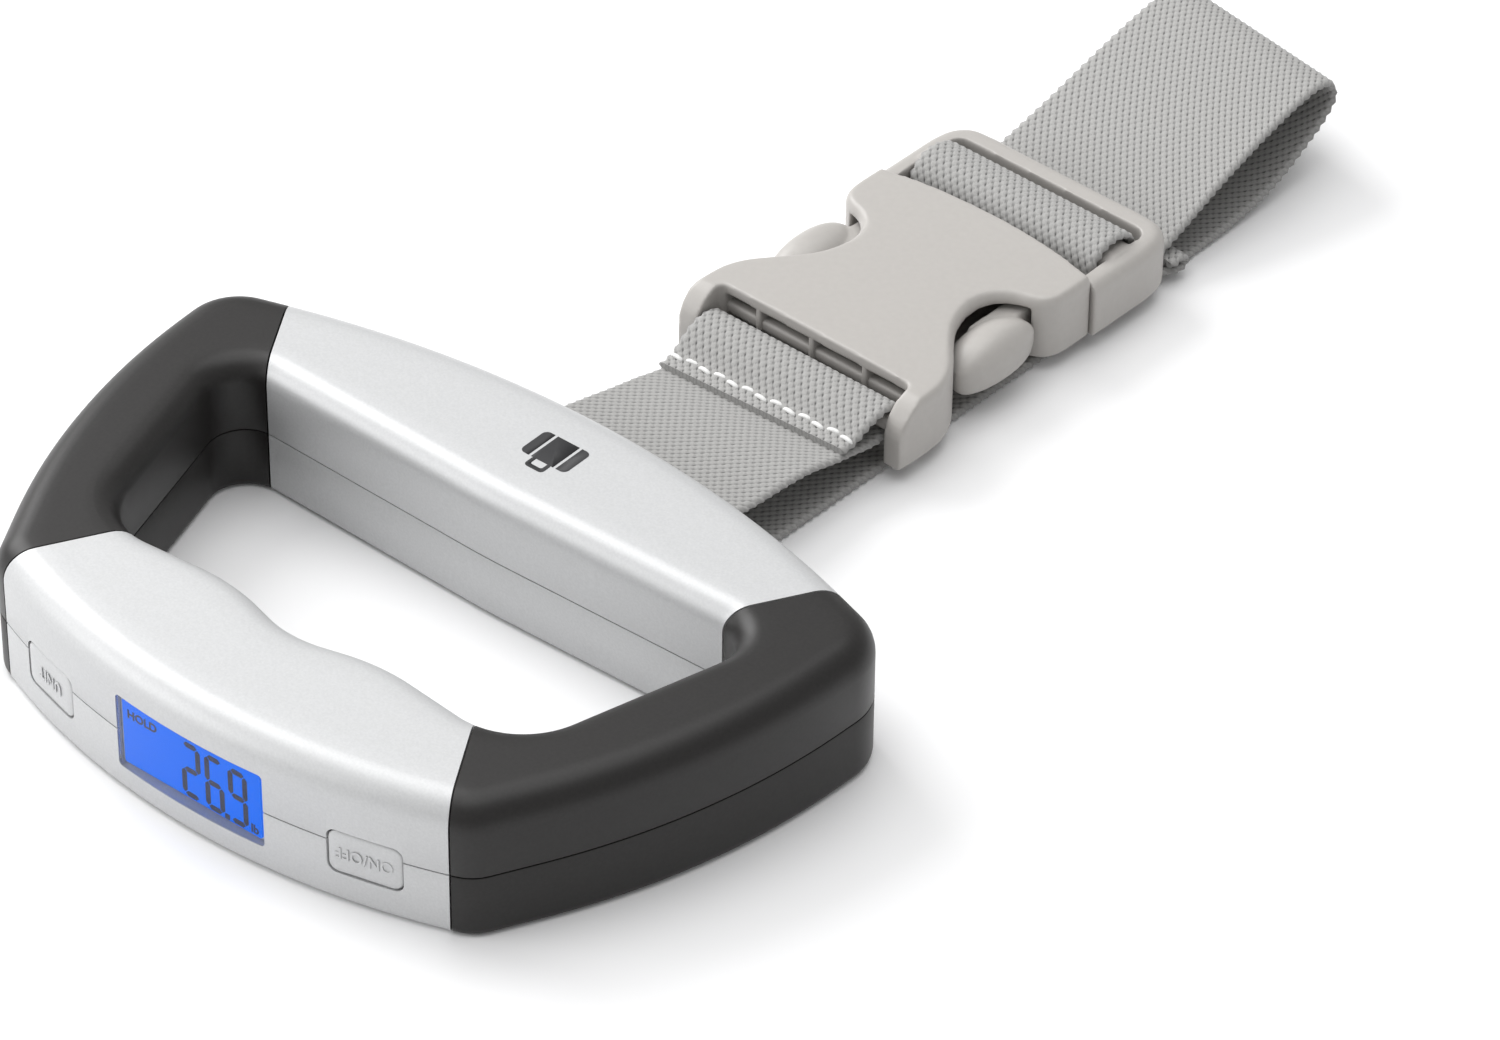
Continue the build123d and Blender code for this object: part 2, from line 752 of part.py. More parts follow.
# ================= wires from the load cell to the board =================
with BuildPart() as load_cell_wires:
    with BuildLine() as wire_path:
        Spline(
            (cell_beam_len / 2 + 1.2, cell_beam_y - 0.3, parting_z - 0.2),
            (back_boss[0], back_boss[1] - 4.9, parting_z),
            (51.5, -9.0, parting_z),
            (57.3, -14.0, parting_z),
            (57.9, -21.5, parting_z),
            (56.0, -30.0, parting_z),
            (51.4, -46.0, parting_z),
            (46.3, -58.0, parting_z),
            (41.0, -66.0, parting_z),
            (37.0, board_front_y + board_t + wire_r + 0.1, parting_z),
        )
    with BuildSketch(Plane(origin=wire_path.line @ 0, z_dir=wire_path.line % 0)):
        Circle(wire_r)
    sweep(path=wire_path.line)
load_cell_wires.part.label = "load_cell_wires"

# ================= strap frame =================
yaw = radians(strap_yaw)
across = (cos(yaw), -sin(yaw), 0)
along = (sin(yaw), cos(yaw), 0)
strap_plan = Plane(origin=(strap_shift, 0, 0), x_dir=across, z_dir=(0, 0, 1))
strap_side = Plane(origin=(strap_shift, 0, 0), x_dir=along, z_dir=across)

hem_mid = web_bar_z - web_bar_half - web_play - web_t / 2
hem_top_mid = hem_mid + web_t + 0.05
bar_wrap = web_bar_half + web_play + web_t / 2

with BuildPart() as strap_upper:
    with BuildSketch(strap_side):
        with BuildLine() as upper_path:
            upper_fall = Spline(
                (wrap_stub + 0.8, parting_z + wrap_r),
                (hem_start - 5, hem_mid + 0.4),
                (web_bar_s - 6, hem_mid),
                tangents=[(1, 0), (1, 0)],
            )
            under_bar = Line(upper_fall @ 1, (web_bar_s, hem_mid))
            around_bar = CenterArc((web_bar_s, web_bar_z), bar_wrap, -90, 180)
            over_bar = Spline(
                around_bar @ 1,
                (web_bar_s - 5.0, hem_top_mid + 0.9),
                (hem_start, hem_top_mid + 0.25),
                tangents=[(-1, 0), (-1, 0.0)],
            )
        trace(upper_path.line, line_width=web_t)
    extrude(amount=web_w / 2, both=True)
strap_upper.part.label = "strap_upper"

with BuildPart() as strap_lower:
    with BuildSketch(strap_side):
        with BuildLine() as lower_path:
            lower_fall = Spline(
                (-wrap_stub, parting_z - wrap_r),
                (touch_down, floor_mid),
                tangents=[(1, 0), (1, 0)],
            )
            Line(lower_fall @ 1, (split_s - split_gap, floor_mid))
        trace(lower_path.line, line_width=web_t)
    extrude(amount=web_w / 2, both=True)
    with BuildSketch(Plane(origin=(strap_shift, 0, 0), x_dir=(0, 1, 0), z_dir=(1, 0, 0))):
        with Locations((0, parting_z)):
            Circle(wrap_r + web_t / 2)
            Circle(wrap_r - web_t / 2, mode=Mode.SUBTRACT)
            with Locations((wrap_stub, 0)):
                Rectangle(40, 40, align=(Align.MIN, Align.CENTER), mode=Mode.SUBTRACT)
    extrude(amount=web_w / 2, both=True)
strap_lower.part.label = "strap_lower"

mid_bar_z = (mid_bar_low + mid_bar_high) / 2
wrap_near = mid_bar_s - mid_bar_half - web_play - web_t / 2
wrap_far = mid_bar_s + mid_bar_half + web_play + web_t / 2
wrap_top = mid_bar_high + web_play + web_t / 2
with BuildPart() as strap_loop:
    with BuildSketch(strap_side):
        with BuildLine() as loop_path:
            through_buckle = FilletPolyline(
                (tail_s, tail_z),
                (wrap_near, tail_z),
                (wrap_near, wrap_top),
                (wrap_far, wrap_top),
                (wrap_far, run_z),
                (end_bar_s + 2, run_z),
                radius=1.3,
            )
            upper_run = Spline(
                through_buckle @ 1,
                (loop_top_s - 30, run_z + 3.4),
                (loop_top_s, loop_top_z),
                (loop_tip_s, loop_tip_z),
                (loop_top_s - 4, 3.3),
                (split_s, floor_mid),
                tangents=[(1, 0), (-1, 0)],
            )
        trace(loop_path.line, line_width=web_t)
    extrude(amount=web_w / 2, both=True)
strap_loop.part.label = "strap_loop"

# ================= female half of the buckle =================
with BuildPart() as buckle_female:
    with BuildSketch(strap_plan.offset(buckle_low)):
        with BuildLine():
            Polyline(
                (-ear_half, ear_s),
                (ear_half, ear_s),
                (ear_half, female_near_s + 1),
                (female_half, window_s - window_r - 1),
                (female_half, female_far_s),
                (-female_half, female_far_s),
                (-female_half, window_s - window_r - 1),
                (-ear_half, female_near_s + 1),
                close=True,
            )
        make_face()
    extrude(amount=buckle_high - buckle_low)
    fillet(buckle_female.edges().filter_by(Axis.Z).group_by(Axis.Y)[0], radius=3.4)
    female_top = buckle_female.faces().sort_by(Axis.Z)[-1]
    fillet(female_top.outer_wire().edges(), radius=buckle_edge_r)
    female_bottom = buckle_female.faces().sort_by(Axis.Z)[0]
    fillet(female_bottom.outer_wire().edges(), radius=1.0)
    with BuildSketch(strap_plan) as slot_cut:
        with Locations((0, (ear_s - 6 + female_near_s) / 2)):
            Rectangle(2 * slot_half, female_near_s - ear_s + 6)
    extrude(amount=60, mode=Mode.SUBTRACT)
    with BuildSketch(strap_plan) as window_cut:
        with Locations((window_x, window_s), (-window_x, window_s)):
            Circle(window_r)
        with Locations((window_x + 5, window_s), (-window_x - 5, window_s)):
            Rectangle(10, 2 * window_r)
    extrude(amount=60, mode=Mode.SUBTRACT)
    with BuildSketch(strap_plan.offset(cavity_low)):
        with Locations((0, cavity_near_s)):
            Rectangle(2 * cavity_half, 60, align=(Align.CENTER, Align.MIN))
    extrude(amount=cavity_high - cavity_low, mode=Mode.SUBTRACT)
    with BuildSketch(strap_side) as bar_section:
        with Locations((web_bar_s, web_bar_z)):
            Circle(web_bar_half)
    extrude(amount=slot_half + 1.5, both=True)
    with BuildSketch(strap_plan.offset(cavity_low)):
        with GridLocations(rib_pitch, 0, 6, 1):
            with Locations((0, female_near_s + 0.2)):
                Rectangle(rib_w, 1.4, align=(Align.CENTER, Align.MAX))
    extrude(amount=cavity_high - cavity_low)
buckle_female.part.label = "buckle_female"

# ================= male half of the buckle =================
arm_mid = (arm_in + arm_out) / 2
bead_r = (arm_out - arm_in) / 2
bead_s = male_near_s - bead_back
with BuildPart() as buckle_male:
    with BuildSketch(strap_plan.offset(buckle_low + 0.1)):
        with Locations((0, male_near_s)):
            Rectangle(2 * male_half, male_far_s - male_near_s, align=(Align.CENTER, Align.MIN))
    extrude(amount=male_high - buckle_low - 0.1)
    fillet(buckle_male.edges().filter_by(Axis.Z).group_by(Axis.Y)[-1], radius=male_corner_r)
    male_top = buckle_male.faces().sort_by(Axis.Z)[-1]
    fillet(male_top.outer_wire().edges(), radius=male_edge_r)
    with BuildSketch(strap_plan):
        with Locations((0, male_near_s + near_wall)):
            Rectangle(2 * rail_half, end_bar_s - male_near_s - near_wall, align=(Align.CENTER, Align.MIN))
    extrude(amount=60, mode=Mode.SUBTRACT)
    with BuildSketch(strap_plan):
        with Locations((0, male_near_s + near_wall)):
            Rectangle(2 * rail_half, 40, align=(Align.CENTER, Align.MIN))
    extrude(amount=end_bar_low, mode=Mode.SUBTRACT)
    with BuildSketch(strap_plan.offset(mid_bar_low)):
        with Locations((0, mid_bar_s)):
            Rectangle(2 * rail_half + 2, 2 * mid_bar_half)
    extrude(amount=mid_bar_high - mid_bar_low)
    with BuildSketch(strap_plan.offset(prong_low)):
        with Locations((0, male_near_s + 0.5)):
            Rectangle(2 * tongue_half, male_near_s + 0.5 - tongue_tip_s, align=(Align.CENTER, Align.MAX))
        with Locations((0, male_near_s + 0.5)):
            Rectangle(2 * (cavity_half - run_clear), 4.5, align=(Align.CENTER, Align.MAX))
    extrude(amount=prong_high - prong_low)
    with BuildSketch(strap_plan.offset(prong_low)):
        with Locations((arm_mid, bead_s), (-arm_mid, bead_s)):
            Circle(bead_r + arm_gap)
        for side in (1, -1):
            with Locations((side * (arm_mid - flare / 2), bead_s)):
                Rectangle(2 * bead_r + 2 * arm_gap + flare, 6, align=(Align.CENTER, Align.MAX))
    extrude(amount=prong_high - prong_low, mode=Mode.SUBTRACT)
buckle_male.part.label = "buckle_male"

with BuildPart() as latch_arm_right:
    with BuildSketch(strap_plan.offset(prong_low)):
        with BuildLine():
            Polyline(
                (arm_in, bead_s),
                (arm_out, bead_s),
                (arm_out, pad_s + pad_len / 2),
                (pad_half - 1.5, pad_s + pad_len / 2),
                (pad_half, pad_s + pad_len / 2 - 2),
                (pad_half, pad_s),
                (arm_out - 1, prong_tip_s - 3),
                (arm_in, prong_tip_s - 3),
                close=True,
            )
        make_face()
        with Locations((arm_mid, bead_s)):
            Circle(bead_r)
    extrude(amount=prong_high - prong_low)
    fillet(latch_arm_right.edges().filter_by(Axis.Z).group_by(Axis.Y)[0], radius=1.2)
latch_arm_right.part.label = "latch_arm_right"

with BuildPart() as latch_arm_left:
    with BuildSketch(strap_plan.offset(prong_low)):
        with BuildLine():
            Polyline(
                (-arm_in, bead_s),
                (-arm_out, bead_s),
                (-arm_out, pad_s + pad_len / 2),
                (-pad_half + 1.5, pad_s + pad_len / 2),
                (-pad_half, pad_s + pad_len / 2 - 2),
                (-pad_half, pad_s),
                (-arm_out + 1, prong_tip_s - 3),
                (-arm_in, prong_tip_s - 3),
                close=True,
            )
        make_face()
        with Locations((-arm_mid, bead_s)):
            Circle(bead_r)
    extrude(amount=prong_high - prong_low)
    fillet(latch_arm_left.edges().filter_by(Axis.Z).group_by(Axis.Y)[0], radius=1.2)
latch_arm_left.part.label = "latch_arm_left"

# ================= files =================
pieces = [
    bottom_shell,
    top_shell,
    grip_top_right,
    grip_top_left,
    grip_bottom_right,
    grip_bottom_left,
    display_lens,
    lcd_panel,
    lcd_backlight,
    lcd_frame,
    zebra_strip,
    circuit_board,
    controller_chip,
    on_off_switch,
    unit_switch,
    on_off_button,
    unit_button,
    battery_cell,
    battery_contact,
    battery_spring,
    battery_door,
    load_cell,
    strain_gauges,
    load_cell_bolts,
    pull_yoke,
    yoke_screws,
    strap_pin,
    housing_screws,
    load_cell_wires,
    strap_upper,
    strap_lower,
    strap_loop,
    buckle_female,
    buckle_male,
    latch_arm_right,
    latch_arm_left,
]
for piece in pieces:
    export_step(piece.part, "parts/" + piece.part.label + ".step")
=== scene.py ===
import math

import bmesh
import bpy
import numpy as np
from mathutils import Matrix, Vector


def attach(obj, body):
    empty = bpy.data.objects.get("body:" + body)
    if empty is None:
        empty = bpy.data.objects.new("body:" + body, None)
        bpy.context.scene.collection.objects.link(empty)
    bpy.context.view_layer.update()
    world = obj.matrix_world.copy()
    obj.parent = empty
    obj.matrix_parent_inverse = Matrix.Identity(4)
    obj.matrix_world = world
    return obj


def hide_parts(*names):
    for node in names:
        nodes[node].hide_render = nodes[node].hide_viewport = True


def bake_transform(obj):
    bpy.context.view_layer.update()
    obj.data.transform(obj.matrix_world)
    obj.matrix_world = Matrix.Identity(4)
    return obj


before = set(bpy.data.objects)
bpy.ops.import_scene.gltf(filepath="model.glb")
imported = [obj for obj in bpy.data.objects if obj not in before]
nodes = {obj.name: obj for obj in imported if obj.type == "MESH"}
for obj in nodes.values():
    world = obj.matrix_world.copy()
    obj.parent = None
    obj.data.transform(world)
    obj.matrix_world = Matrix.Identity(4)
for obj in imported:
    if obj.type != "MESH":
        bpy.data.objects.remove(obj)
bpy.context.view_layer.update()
MM = 0.001

# ---------------------------------------------------------------- sizes, in mm
TOP = 24.0
SEAM_Z = 11.2
WALL = 2.2
TOP_ROUND, INNER_ROUND, FOOT_ROUND = 5.0, 4.0, 1.6
SEAM_BEVEL = 0.24
SEAM_GAP = 0.14
SLIT, SLIT_DEEP = 0.1, 0.9

OUTER_CORNERS = [(0, -90.4), (47, -72.8), (64.6, -40.5), (66.9, -2.9), (0, 18.4)]
OUTER_RADII = [125, 7, 118, 10, 182]
HOLE_CORNERS = [(0, -58.7), (14.5, -54.7), (40.6, -57), (52.8, -15.5), (0, -16.9)]
HOLE_RADII = [20, 35, 12, 6, 160]

FRONT_SEAM = ((50.3, -85.2), (30.6, -51.5))
BACK_SEAM = ((43.5, -18.7), (58.9, 7.1))

GROOVE_LIP = 0.08  # the lips of the parting groove stand this far in
ROOF_Z, ROOF_INSET = 19.2, 4.6  # where the inside of an upper half starts to slope

WINDOW_Z, WINDOW_W, WINDOW_H = 11.3, 28.8, 13.4
BUTTON_X, BUTTON_Z, BUTTON_W, BUTTON_H, BUTTON_R = 31.0, 9.5, 12.0, 8.0, 1.6
BUTTON_GAP = 0.2
SLOT_W, SLOT_LOW, SLOT_HIGH = 47.0, 4.2, 18.8
DOOR_RIGHT, DOOR_LEFT, DOOR_FRONT, DOOR_BACK, DOOR_DEEP = 24.9, -25.05, -70.95, -60.25, 2.6
SCREW_R, SCREW_DEEP = 2.6, 1.9
FRONT_SCREW, BACK_SCREW = (33, -62.5), (43, -4.5)

STRAP_SHIFT = 2.3
STRAP_YAW = math.radians(2.3)
ACROSS = Vector((math.cos(STRAP_YAW), -math.sin(STRAP_YAW), 0))
ALONG = Vector((math.sin(STRAP_YAW), math.cos(STRAP_YAW), 0))
WEB_W, WEB_T = 38.0, 1.4


def strap_point(w, s, z):
    """A point of the strap's own frame (across, along, up) in metres."""
    p = Vector((STRAP_SHIFT, 0, z)) + ACROSS * w + ALONG * s
    return p * MM


# ---------------------------------------------------------------- materials
def principled(name, color, roughness=0.5, **sockets):
    """A material from one Principled shader. Other sockets go by their name, with _ for each space."""
    m = bpy.data.materials.new(name)
    m.use_nodes = True
    b = m.node_tree.nodes["Principled BSDF"]
    b.inputs["Base Color"].default_value = (*color, 1)
    b.inputs["Roughness"].default_value = roughness
    for key, value in sockets.items():
        b.inputs[key.replace("_", " ")].default_value = value
    return m


def add_noise(m, scale, colour_a, colour_b, bump=0.0, detail=4.0, distance=0.05):
    """Fine mottling of the colour and a shallow bump, in the object's own coordinates."""
    t = m.node_tree
    b = t.nodes["Principled BSDF"]
    co = t.nodes.new("ShaderNodeTexCoord")
    n = t.nodes.new("ShaderNodeTexNoise")
    n.inputs["Scale"].default_value = scale
    n.inputs["Detail"].default_value = detail
    t.links.new(co.outputs["Object"], n.inputs["Vector"])
    ramp = t.nodes.new("ShaderNodeValToRGB")
    ramp.color_ramp.elements[0].color = (*colour_a, 1)
    ramp.color_ramp.elements[1].color = (*colour_b, 1)
    ramp.color_ramp.elements[0].position = 0.3
    ramp.color_ramp.elements[1].position = 0.85
    t.links.new(n.outputs["Fac"], ramp.inputs["Fac"])
    t.links.new(ramp.outputs["Color"], b.inputs["Base Color"])
    if bump:
        bp = t.nodes.new("ShaderNodeBump")
        bp.inputs["Strength"].default_value = bump
        bp.inputs["Distance"].default_value = distance * MM
        t.links.new(n.outputs["Fac"], bp.inputs["Height"])
        t.links.new(bp.outputs["Normal"], b.inputs["Normal"])
    return m


SILVER = add_noise(
    principled("silver_paint", (0.6, 0.605, 0.61), 0.42, Metallic=0.28),
    2600, (0.53, 0.535, 0.54), (0.6, 0.605, 0.61), bump=0.25, distance=0.02,
)
RUBBER = add_noise(
    principled("grip_rubber", (0.012, 0.011, 0.0105), 0.42, Specular_IOR_Level=0.42),
    1800, (0.010, 0.009, 0.0085), (0.016, 0.0145, 0.014), bump=0.2, distance=0.02,
)
BUCKLE = add_noise(
    principled("buckle_plastic", (0.42, 0.4, 0.38), 0.4),
    900, (0.41, 0.392, 0.373), (0.43, 0.413, 0.392), bump=0.05, distance=0.02,
)
BLACK = add_noise(
    principled("black_plastic", (0.02, 0.02, 0.02), 0.45),
    900, (0.015, 0.015, 0.015), (0.03, 0.03, 0.03),
)
LENS = principled("clear_lens", (1, 1, 1), 0.02, Transmission_Weight=1.0, IOR=1.15)
LCD = principled(
    "lcd_face", (0.0, 0.03, 0.3), 0.5,
    Specular_IOR_Level=0.1, Emission_Color=(0.0, 0.17, 0.9, 1), Emission_Strength=0.72,
)
SEGMENT = principled("lcd_segment", (0.005, 0.01, 0.05), 0.5)
STEEL = principled("steel", (0.6, 0.6, 0.6), 0.3, Metallic=1.0)
ALLOY = principled("alloy", (0.8, 0.8, 0.8), 0.4, Metallic=1.0)
BOARD = add_noise(
    principled("board", (0.01, 0.12, 0.04), 0.4),
    300, (0.008, 0.1, 0.03), (0.015, 0.15, 0.06),
)
JACKET = add_noise(
    principled("cell_jacket", (0.2, 0.2, 0.22), 0.35, Metallic=0.5),
    80, (0.18, 0.18, 0.2), (0.25, 0.25, 0.27),
)
FOIL = principled("gauge_foil", (0.6, 0.35, 0.1), 0.5)
WIRE = principled("wire_sleeve", (0.4, 0.02, 0.02), 0.5)
THREAD = add_noise(
    principled("thread", (0.8, 0.8, 0.79), 0.8),
    2500, (0.7, 0.7, 0.69), (0.86, 0.86, 0.85), bump=0.4,
)
PRINT = principled("print_ink", (0.02, 0.02, 0.022), 0.6)


def webbing_material():
    """Grey yarn with painted shade between the beads, darkest where the weave is lowest, and a fine fibre
    mottling. The weave attribute gives the height.
    """
    m = principled("webbing", (0.52, 0.515, 0.5), 0.72, Sheen_Weight=0.25, Sheen_Roughness=0.5)
    t = m.node_tree
    b = t.nodes["Principled BSDF"]
    height = t.nodes.new("ShaderNodeAttribute")
    height.attribute_name = "weave"
    # Painted shade: this ramp darkens the yarn to near black where the weave is low, between the beads.
    ramp = t.nodes.new("ShaderNodeValToRGB")
    ramp.color_ramp.elements[0].position = 0.0
    ramp.color_ramp.elements[0].color = (0.02, 0.0195, 0.019, 1)
    ramp.color_ramp.elements[1].position = 0.7
    ramp.color_ramp.elements[1].color = (0.42, 0.415, 0.405, 1)
    t.links.new(height.outputs["Fac"], ramp.inputs["Fac"])
    co = t.nodes.new("ShaderNodeTexCoord")
    n = t.nodes.new("ShaderNodeTexNoise")
    n.inputs["Scale"].default_value = 4200
    n.inputs["Detail"].default_value = 3
    t.links.new(co.outputs["Object"], n.inputs["Vector"])
    mix = t.nodes.new("ShaderNodeMix")
    mix.data_type = "RGBA"
    mix.blend_type = "MULTIPLY"
    mix.inputs["Factor"].default_value = 0.35
    t.links.new(ramp.outputs["Color"], mix.inputs["A"])
    grey = t.nodes.new("ShaderNodeRGBToBW")
    t.links.new(n.outputs["Color"], grey.inputs["Color"])
    t.links.new(grey.outputs["Val"], mix.inputs["B"])
    t.links.new(mix.outputs["Result"], b.inputs["Base Color"])
    bp = t.nodes.new("ShaderNodeBump")
    bp.inputs["Strength"].default_value = 0.7
    bp.inputs["Distance"].default_value = 0.06 * MM
    t.links.new(n.outputs["Fac"], bp.inputs["Height"])
    t.links.new(bp.outputs["Normal"], b.inputs["Normal"])
    return m


WEBBING = webbing_material()


# ---------------------------------------------------------------- mesh helpers
def make(name, verts, faces, material, smooth=35):
    """A mesh object from points in metres."""
    me = bpy.data.meshes.new(name)
    me.from_pydata([tuple(v) for v in verts], [], faces)
    me.validate()
    o = bpy.data.objects.new(name, me)
    bpy.context.scene.collection.objects.link(o)
    me.materials.append(material)
    shade(o, smooth)
    return o


def shade(o, angle=35):
    """Smooth shading, with edges sharper than the angle kept crisp."""
    for p in o.data.polygons:
        p.use_smooth = True
    o.data.set_sharp_from_angle(angle=math.radians(angle))


def paint(o, material):
    o.data.materials.clear()
    o.data.materials.append(material)


def fix_normals(o):
    """Turns all faces outwards."""
    bm = bmesh.new()
    bm.from_mesh(o.data)
    bmesh.ops.recalc_face_normals(bm, faces=bm.faces)
    bm.to_mesh(o.data)
    bm.free()


def triangulate_caps(o, weld=None):
    """Splits faces of more than 4 corners into triangles, after welding points closer than weld metres."""
    bm = bmesh.new()
    bm.from_mesh(o.data)
    if weld:
        bmesh.ops.remove_doubles(bm, verts=bm.verts, dist=weld)
    bmesh.ops.triangulate(bm, faces=[f for f in bm.faces if len(f.verts) > 4])
    bm.to_mesh(o.data)
    bm.free()


def bands(rows, n):
    """Quads between rows of n points, each row a closed ring."""
    return [
        (k * n + i, k * n + (i + 1) % n, (k + 1) * n + (i + 1) % n, (k + 1) * n + i)
        for k in range(rows - 1)
        for i in range(n)
    ]


def apply_modifiers(o):
    dg = bpy.context.evaluated_depsgraph_get()
    me = bpy.data.meshes.new_from_object(o.evaluated_get(dg))
    old = o.data
    o.modifiers.clear()
    o.data = me
    bpy.data.meshes.remove(old)


def cut(o, cutter, operation="DIFFERENCE"):
    """Boolean of one closed mesh with another, applied. The cutter is removed."""
    mod = o.modifiers.new("cut", "BOOLEAN")
    mod.operation = operation
    mod.solver = "EXACT"
    mod.object = cutter
    apply_modifiers(o)
    bpy.data.objects.remove(cutter)


def prism(points, low, high, to_world, name="cutter"):
    """A closed prism over a plan outline. to_world(u, v, h) gives metres."""
    n = len(points)
    verts = [to_world(u, v, low) for u, v in points] + [to_world(u, v, high) for u, v in points]
    faces = [tuple(range(n))[::-1], tuple(range(n, 2 * n))] + bands(2, n)
    o = make(name, verts, faces, BLACK)
    fix_normals(o)
    return o


def rounded_rect(w, h, r, cx=0.0, cy=0.0, steps=8):
    pts = []
    for k, (sx, sy) in enumerate(((1, 1), (-1, 1), (-1, -1), (1, -1))):
        x, y = cx + sx * (w / 2 - r), cy + sy * (h / 2 - r)
        for i in range(steps + 1):
            a = math.pi / 2 * (k + i / steps)
            pts.append((x + r * math.cos(a), y + r * math.sin(a)))
    return pts


def circle(r, cx=0.0, cy=0.0, n=40):
    turns = [2 * math.pi * i / n for i in range(n)]
    return [(cx + r * math.cos(a), cy + r * math.sin(a)) for a in turns]


def front_plane(u, v, h):
    """Drawing on the front face: u is X, v is Z, h is Y."""
    return (u * MM, h * MM, v * MM)


def plan(u, v, h):
    """Drawing in the plan: u is X, v is Y, h is Z."""
    return (u * MM, v * MM, h * MM)


def strap_plan(u, v, h):
    """Drawing in the strap's plan: u is across, v is along, h is up."""
    return tuple(strap_point(u, v, h))


def strap_side(u, v, h):
    """Drawing on the strap's side: u is along, v is up, h is across."""
    return tuple(strap_point(h, u, v))


# ---------------------------------------------------------------- housing outline
def mirrored(corners, radii):
    """The full ring of corners from its right half: the first and last lie on the middle."""
    right = list(zip(corners, radii))
    left = [((-x, y), r) for (x, y), r in right[1:-1]][::-1]
    return right + left


def rounded_curve(corners, radii, step=0.25):
    """Points and inward normals all round a rounded outline."""
    ring = mirrored(corners, radii)
    n = len(ring)
    pts, nor = [], []
    ends = []
    for i in range(n):
        here = np.array(ring[i][0], float)
        arrive = here - np.array(ring[i - 1][0], float)
        leave = np.array(ring[(i + 1) % n][0], float) - here
        arrive /= np.linalg.norm(arrive)
        leave /= np.linalg.norm(leave)
        turn = math.atan2(arrive[0] * leave[1] - arrive[1] * leave[0], arrive @ leave)
        r = ring[i][1]
        run = r * math.tan(abs(turn) / 2)
        side = 1 if turn > 0 else -1
        normal = np.array([-arrive[1], arrive[0]])
        centre = here - arrive * run + normal * r * side
        ends.append((here - arrive * run, here + leave * run, centre, r, turn, normal))
    for i in range(n):
        start, end, centre, r, turn, normal = ends[i]
        count = max(3, int(abs(turn) * r / step))
        for k in range(count):
            a = turn * k / count
            c, s = math.cos(a), math.sin(a)
            rot = np.array([[c, -s], [s, c]])
            pts.append(centre + rot @ (start - centre))
            nor.append(rot @ normal)
        nxt = ends[(i + 1) % n][0]
        length = np.linalg.norm(nxt - end)
        count = max(1, int(length / step))
        after = np.array([[math.cos(turn), -math.sin(turn)], [math.sin(turn), math.cos(turn)]]) @ normal
        for k in range(count):
            pts.append(end + (nxt - end) * k / count)
            nor.append(after)
    return np.array(pts), np.array(nor)


OUTER = rounded_curve(OUTER_CORNERS, OUTER_RADII)
HOLE = rounded_curve(HOLE_CORNERS, HOLE_RADII)


ARM_MIDDLE = (56.0, -38.0)


def seam_line(seam, mirror, shift):
    """Point and unit normal of a seam line, moved along the normal by shift. The normal points to the arm."""
    (ax, ay), (bx, by) = seam
    if mirror:
        ax, bx = -ax, -bx
    p = np.array([ax, ay], float)
    d = np.array([bx - ax, by - ay], float)
    d /= np.linalg.norm(d)
    normal = np.array([-d[1], d[0]])
    arm = np.array([-ARM_MIDDLE[0] if mirror else ARM_MIDDLE[0], ARM_MIDDLE[1]])
    if normal @ (arm - p) < 0:
        normal = -normal
    return p + normal * shift, normal


def between(curve, inset, line_a, line_b, inside, n):
    """n points of the inset outline between two seam lines, on the side where inside(points) holds."""
    pts = curve[0] + curve[1] * inset
    ok = inside(pts)
    m = len(pts)
    start = next(i for i in range(m) if not ok[i - 1] and ok[i])
    run = []
    i = start
    while ok[i % m]:
        run.append(pts[i % m])
        i += 1
    before, after = pts[start - 1], pts[i % m]

    def crossing(outside, within):
        best = None
        for p, normal in (line_a, line_b):
            da, db = (outside - p) @ normal, (within - p) @ normal
            if da * db <= 0 and da != db:
                best = outside + (within - outside) * (da / (da - db))
        return within if best is None else best

    run = [crossing(before, run[0])] + run + [crossing(after, run[-1])]
    run = np.array(run)
    d = np.r_[0, np.cumsum(np.linalg.norm(np.diff(run, axis=0), axis=1))]
    at = np.linspace(0, d[-1], n)
    return np.c_[np.interp(at, d, run[:, 0]), np.interp(at, d, run[:, 1])]


def arc(r, start, end, steps):
    """Quarter round as (inset from the side, rise) between two angles."""
    return [(r * (1 - math.cos(a)), r * math.sin(a)) for a in np.linspace(start, end, steps)]


def top_profile():
    """(curve, inset, height) all round the section of an upper half."""
    b = SEAM_BEVEL
    p = [("o", SLIT_DEEP, SEAM_Z), ("o", SLIT_DEEP, SEAM_Z + SLIT), ("o", GROOVE_LIP, SEAM_Z + SLIT)]
    p += [("o", 0, SEAM_Z + b), ("o", 0, TOP - TOP_ROUND)]
    p += [("o", x, TOP - TOP_ROUND + z) for x, z in arc(TOP_ROUND, 0.14, math.pi / 2, 9)]
    p += [("m", t, TOP) for t in (0.2, 0.4, 0.6, 0.8)]
    p += [("i", x, TOP - INNER_ROUND + z) for x, z in arc(INNER_ROUND, 0.16, math.pi / 2, 8)][::-1]
    p += [("i", 0, TOP - INNER_ROUND), ("i", 0, SEAM_Z + b), ("i", GROOVE_LIP, SEAM_Z + SLIT)]
    p += [("i", SLIT_DEEP, SEAM_Z + SLIT), ("i", SLIT_DEEP, SEAM_Z)]
    p += [("i", WALL, SEAM_Z), ("i", WALL, ROOF_Z), ("i", ROOF_INSET, TOP - WALL)]
    p += [("o", ROOF_INSET, TOP - WALL), ("o", WALL, ROOF_Z), ("o", WALL, SEAM_Z)]
    return p


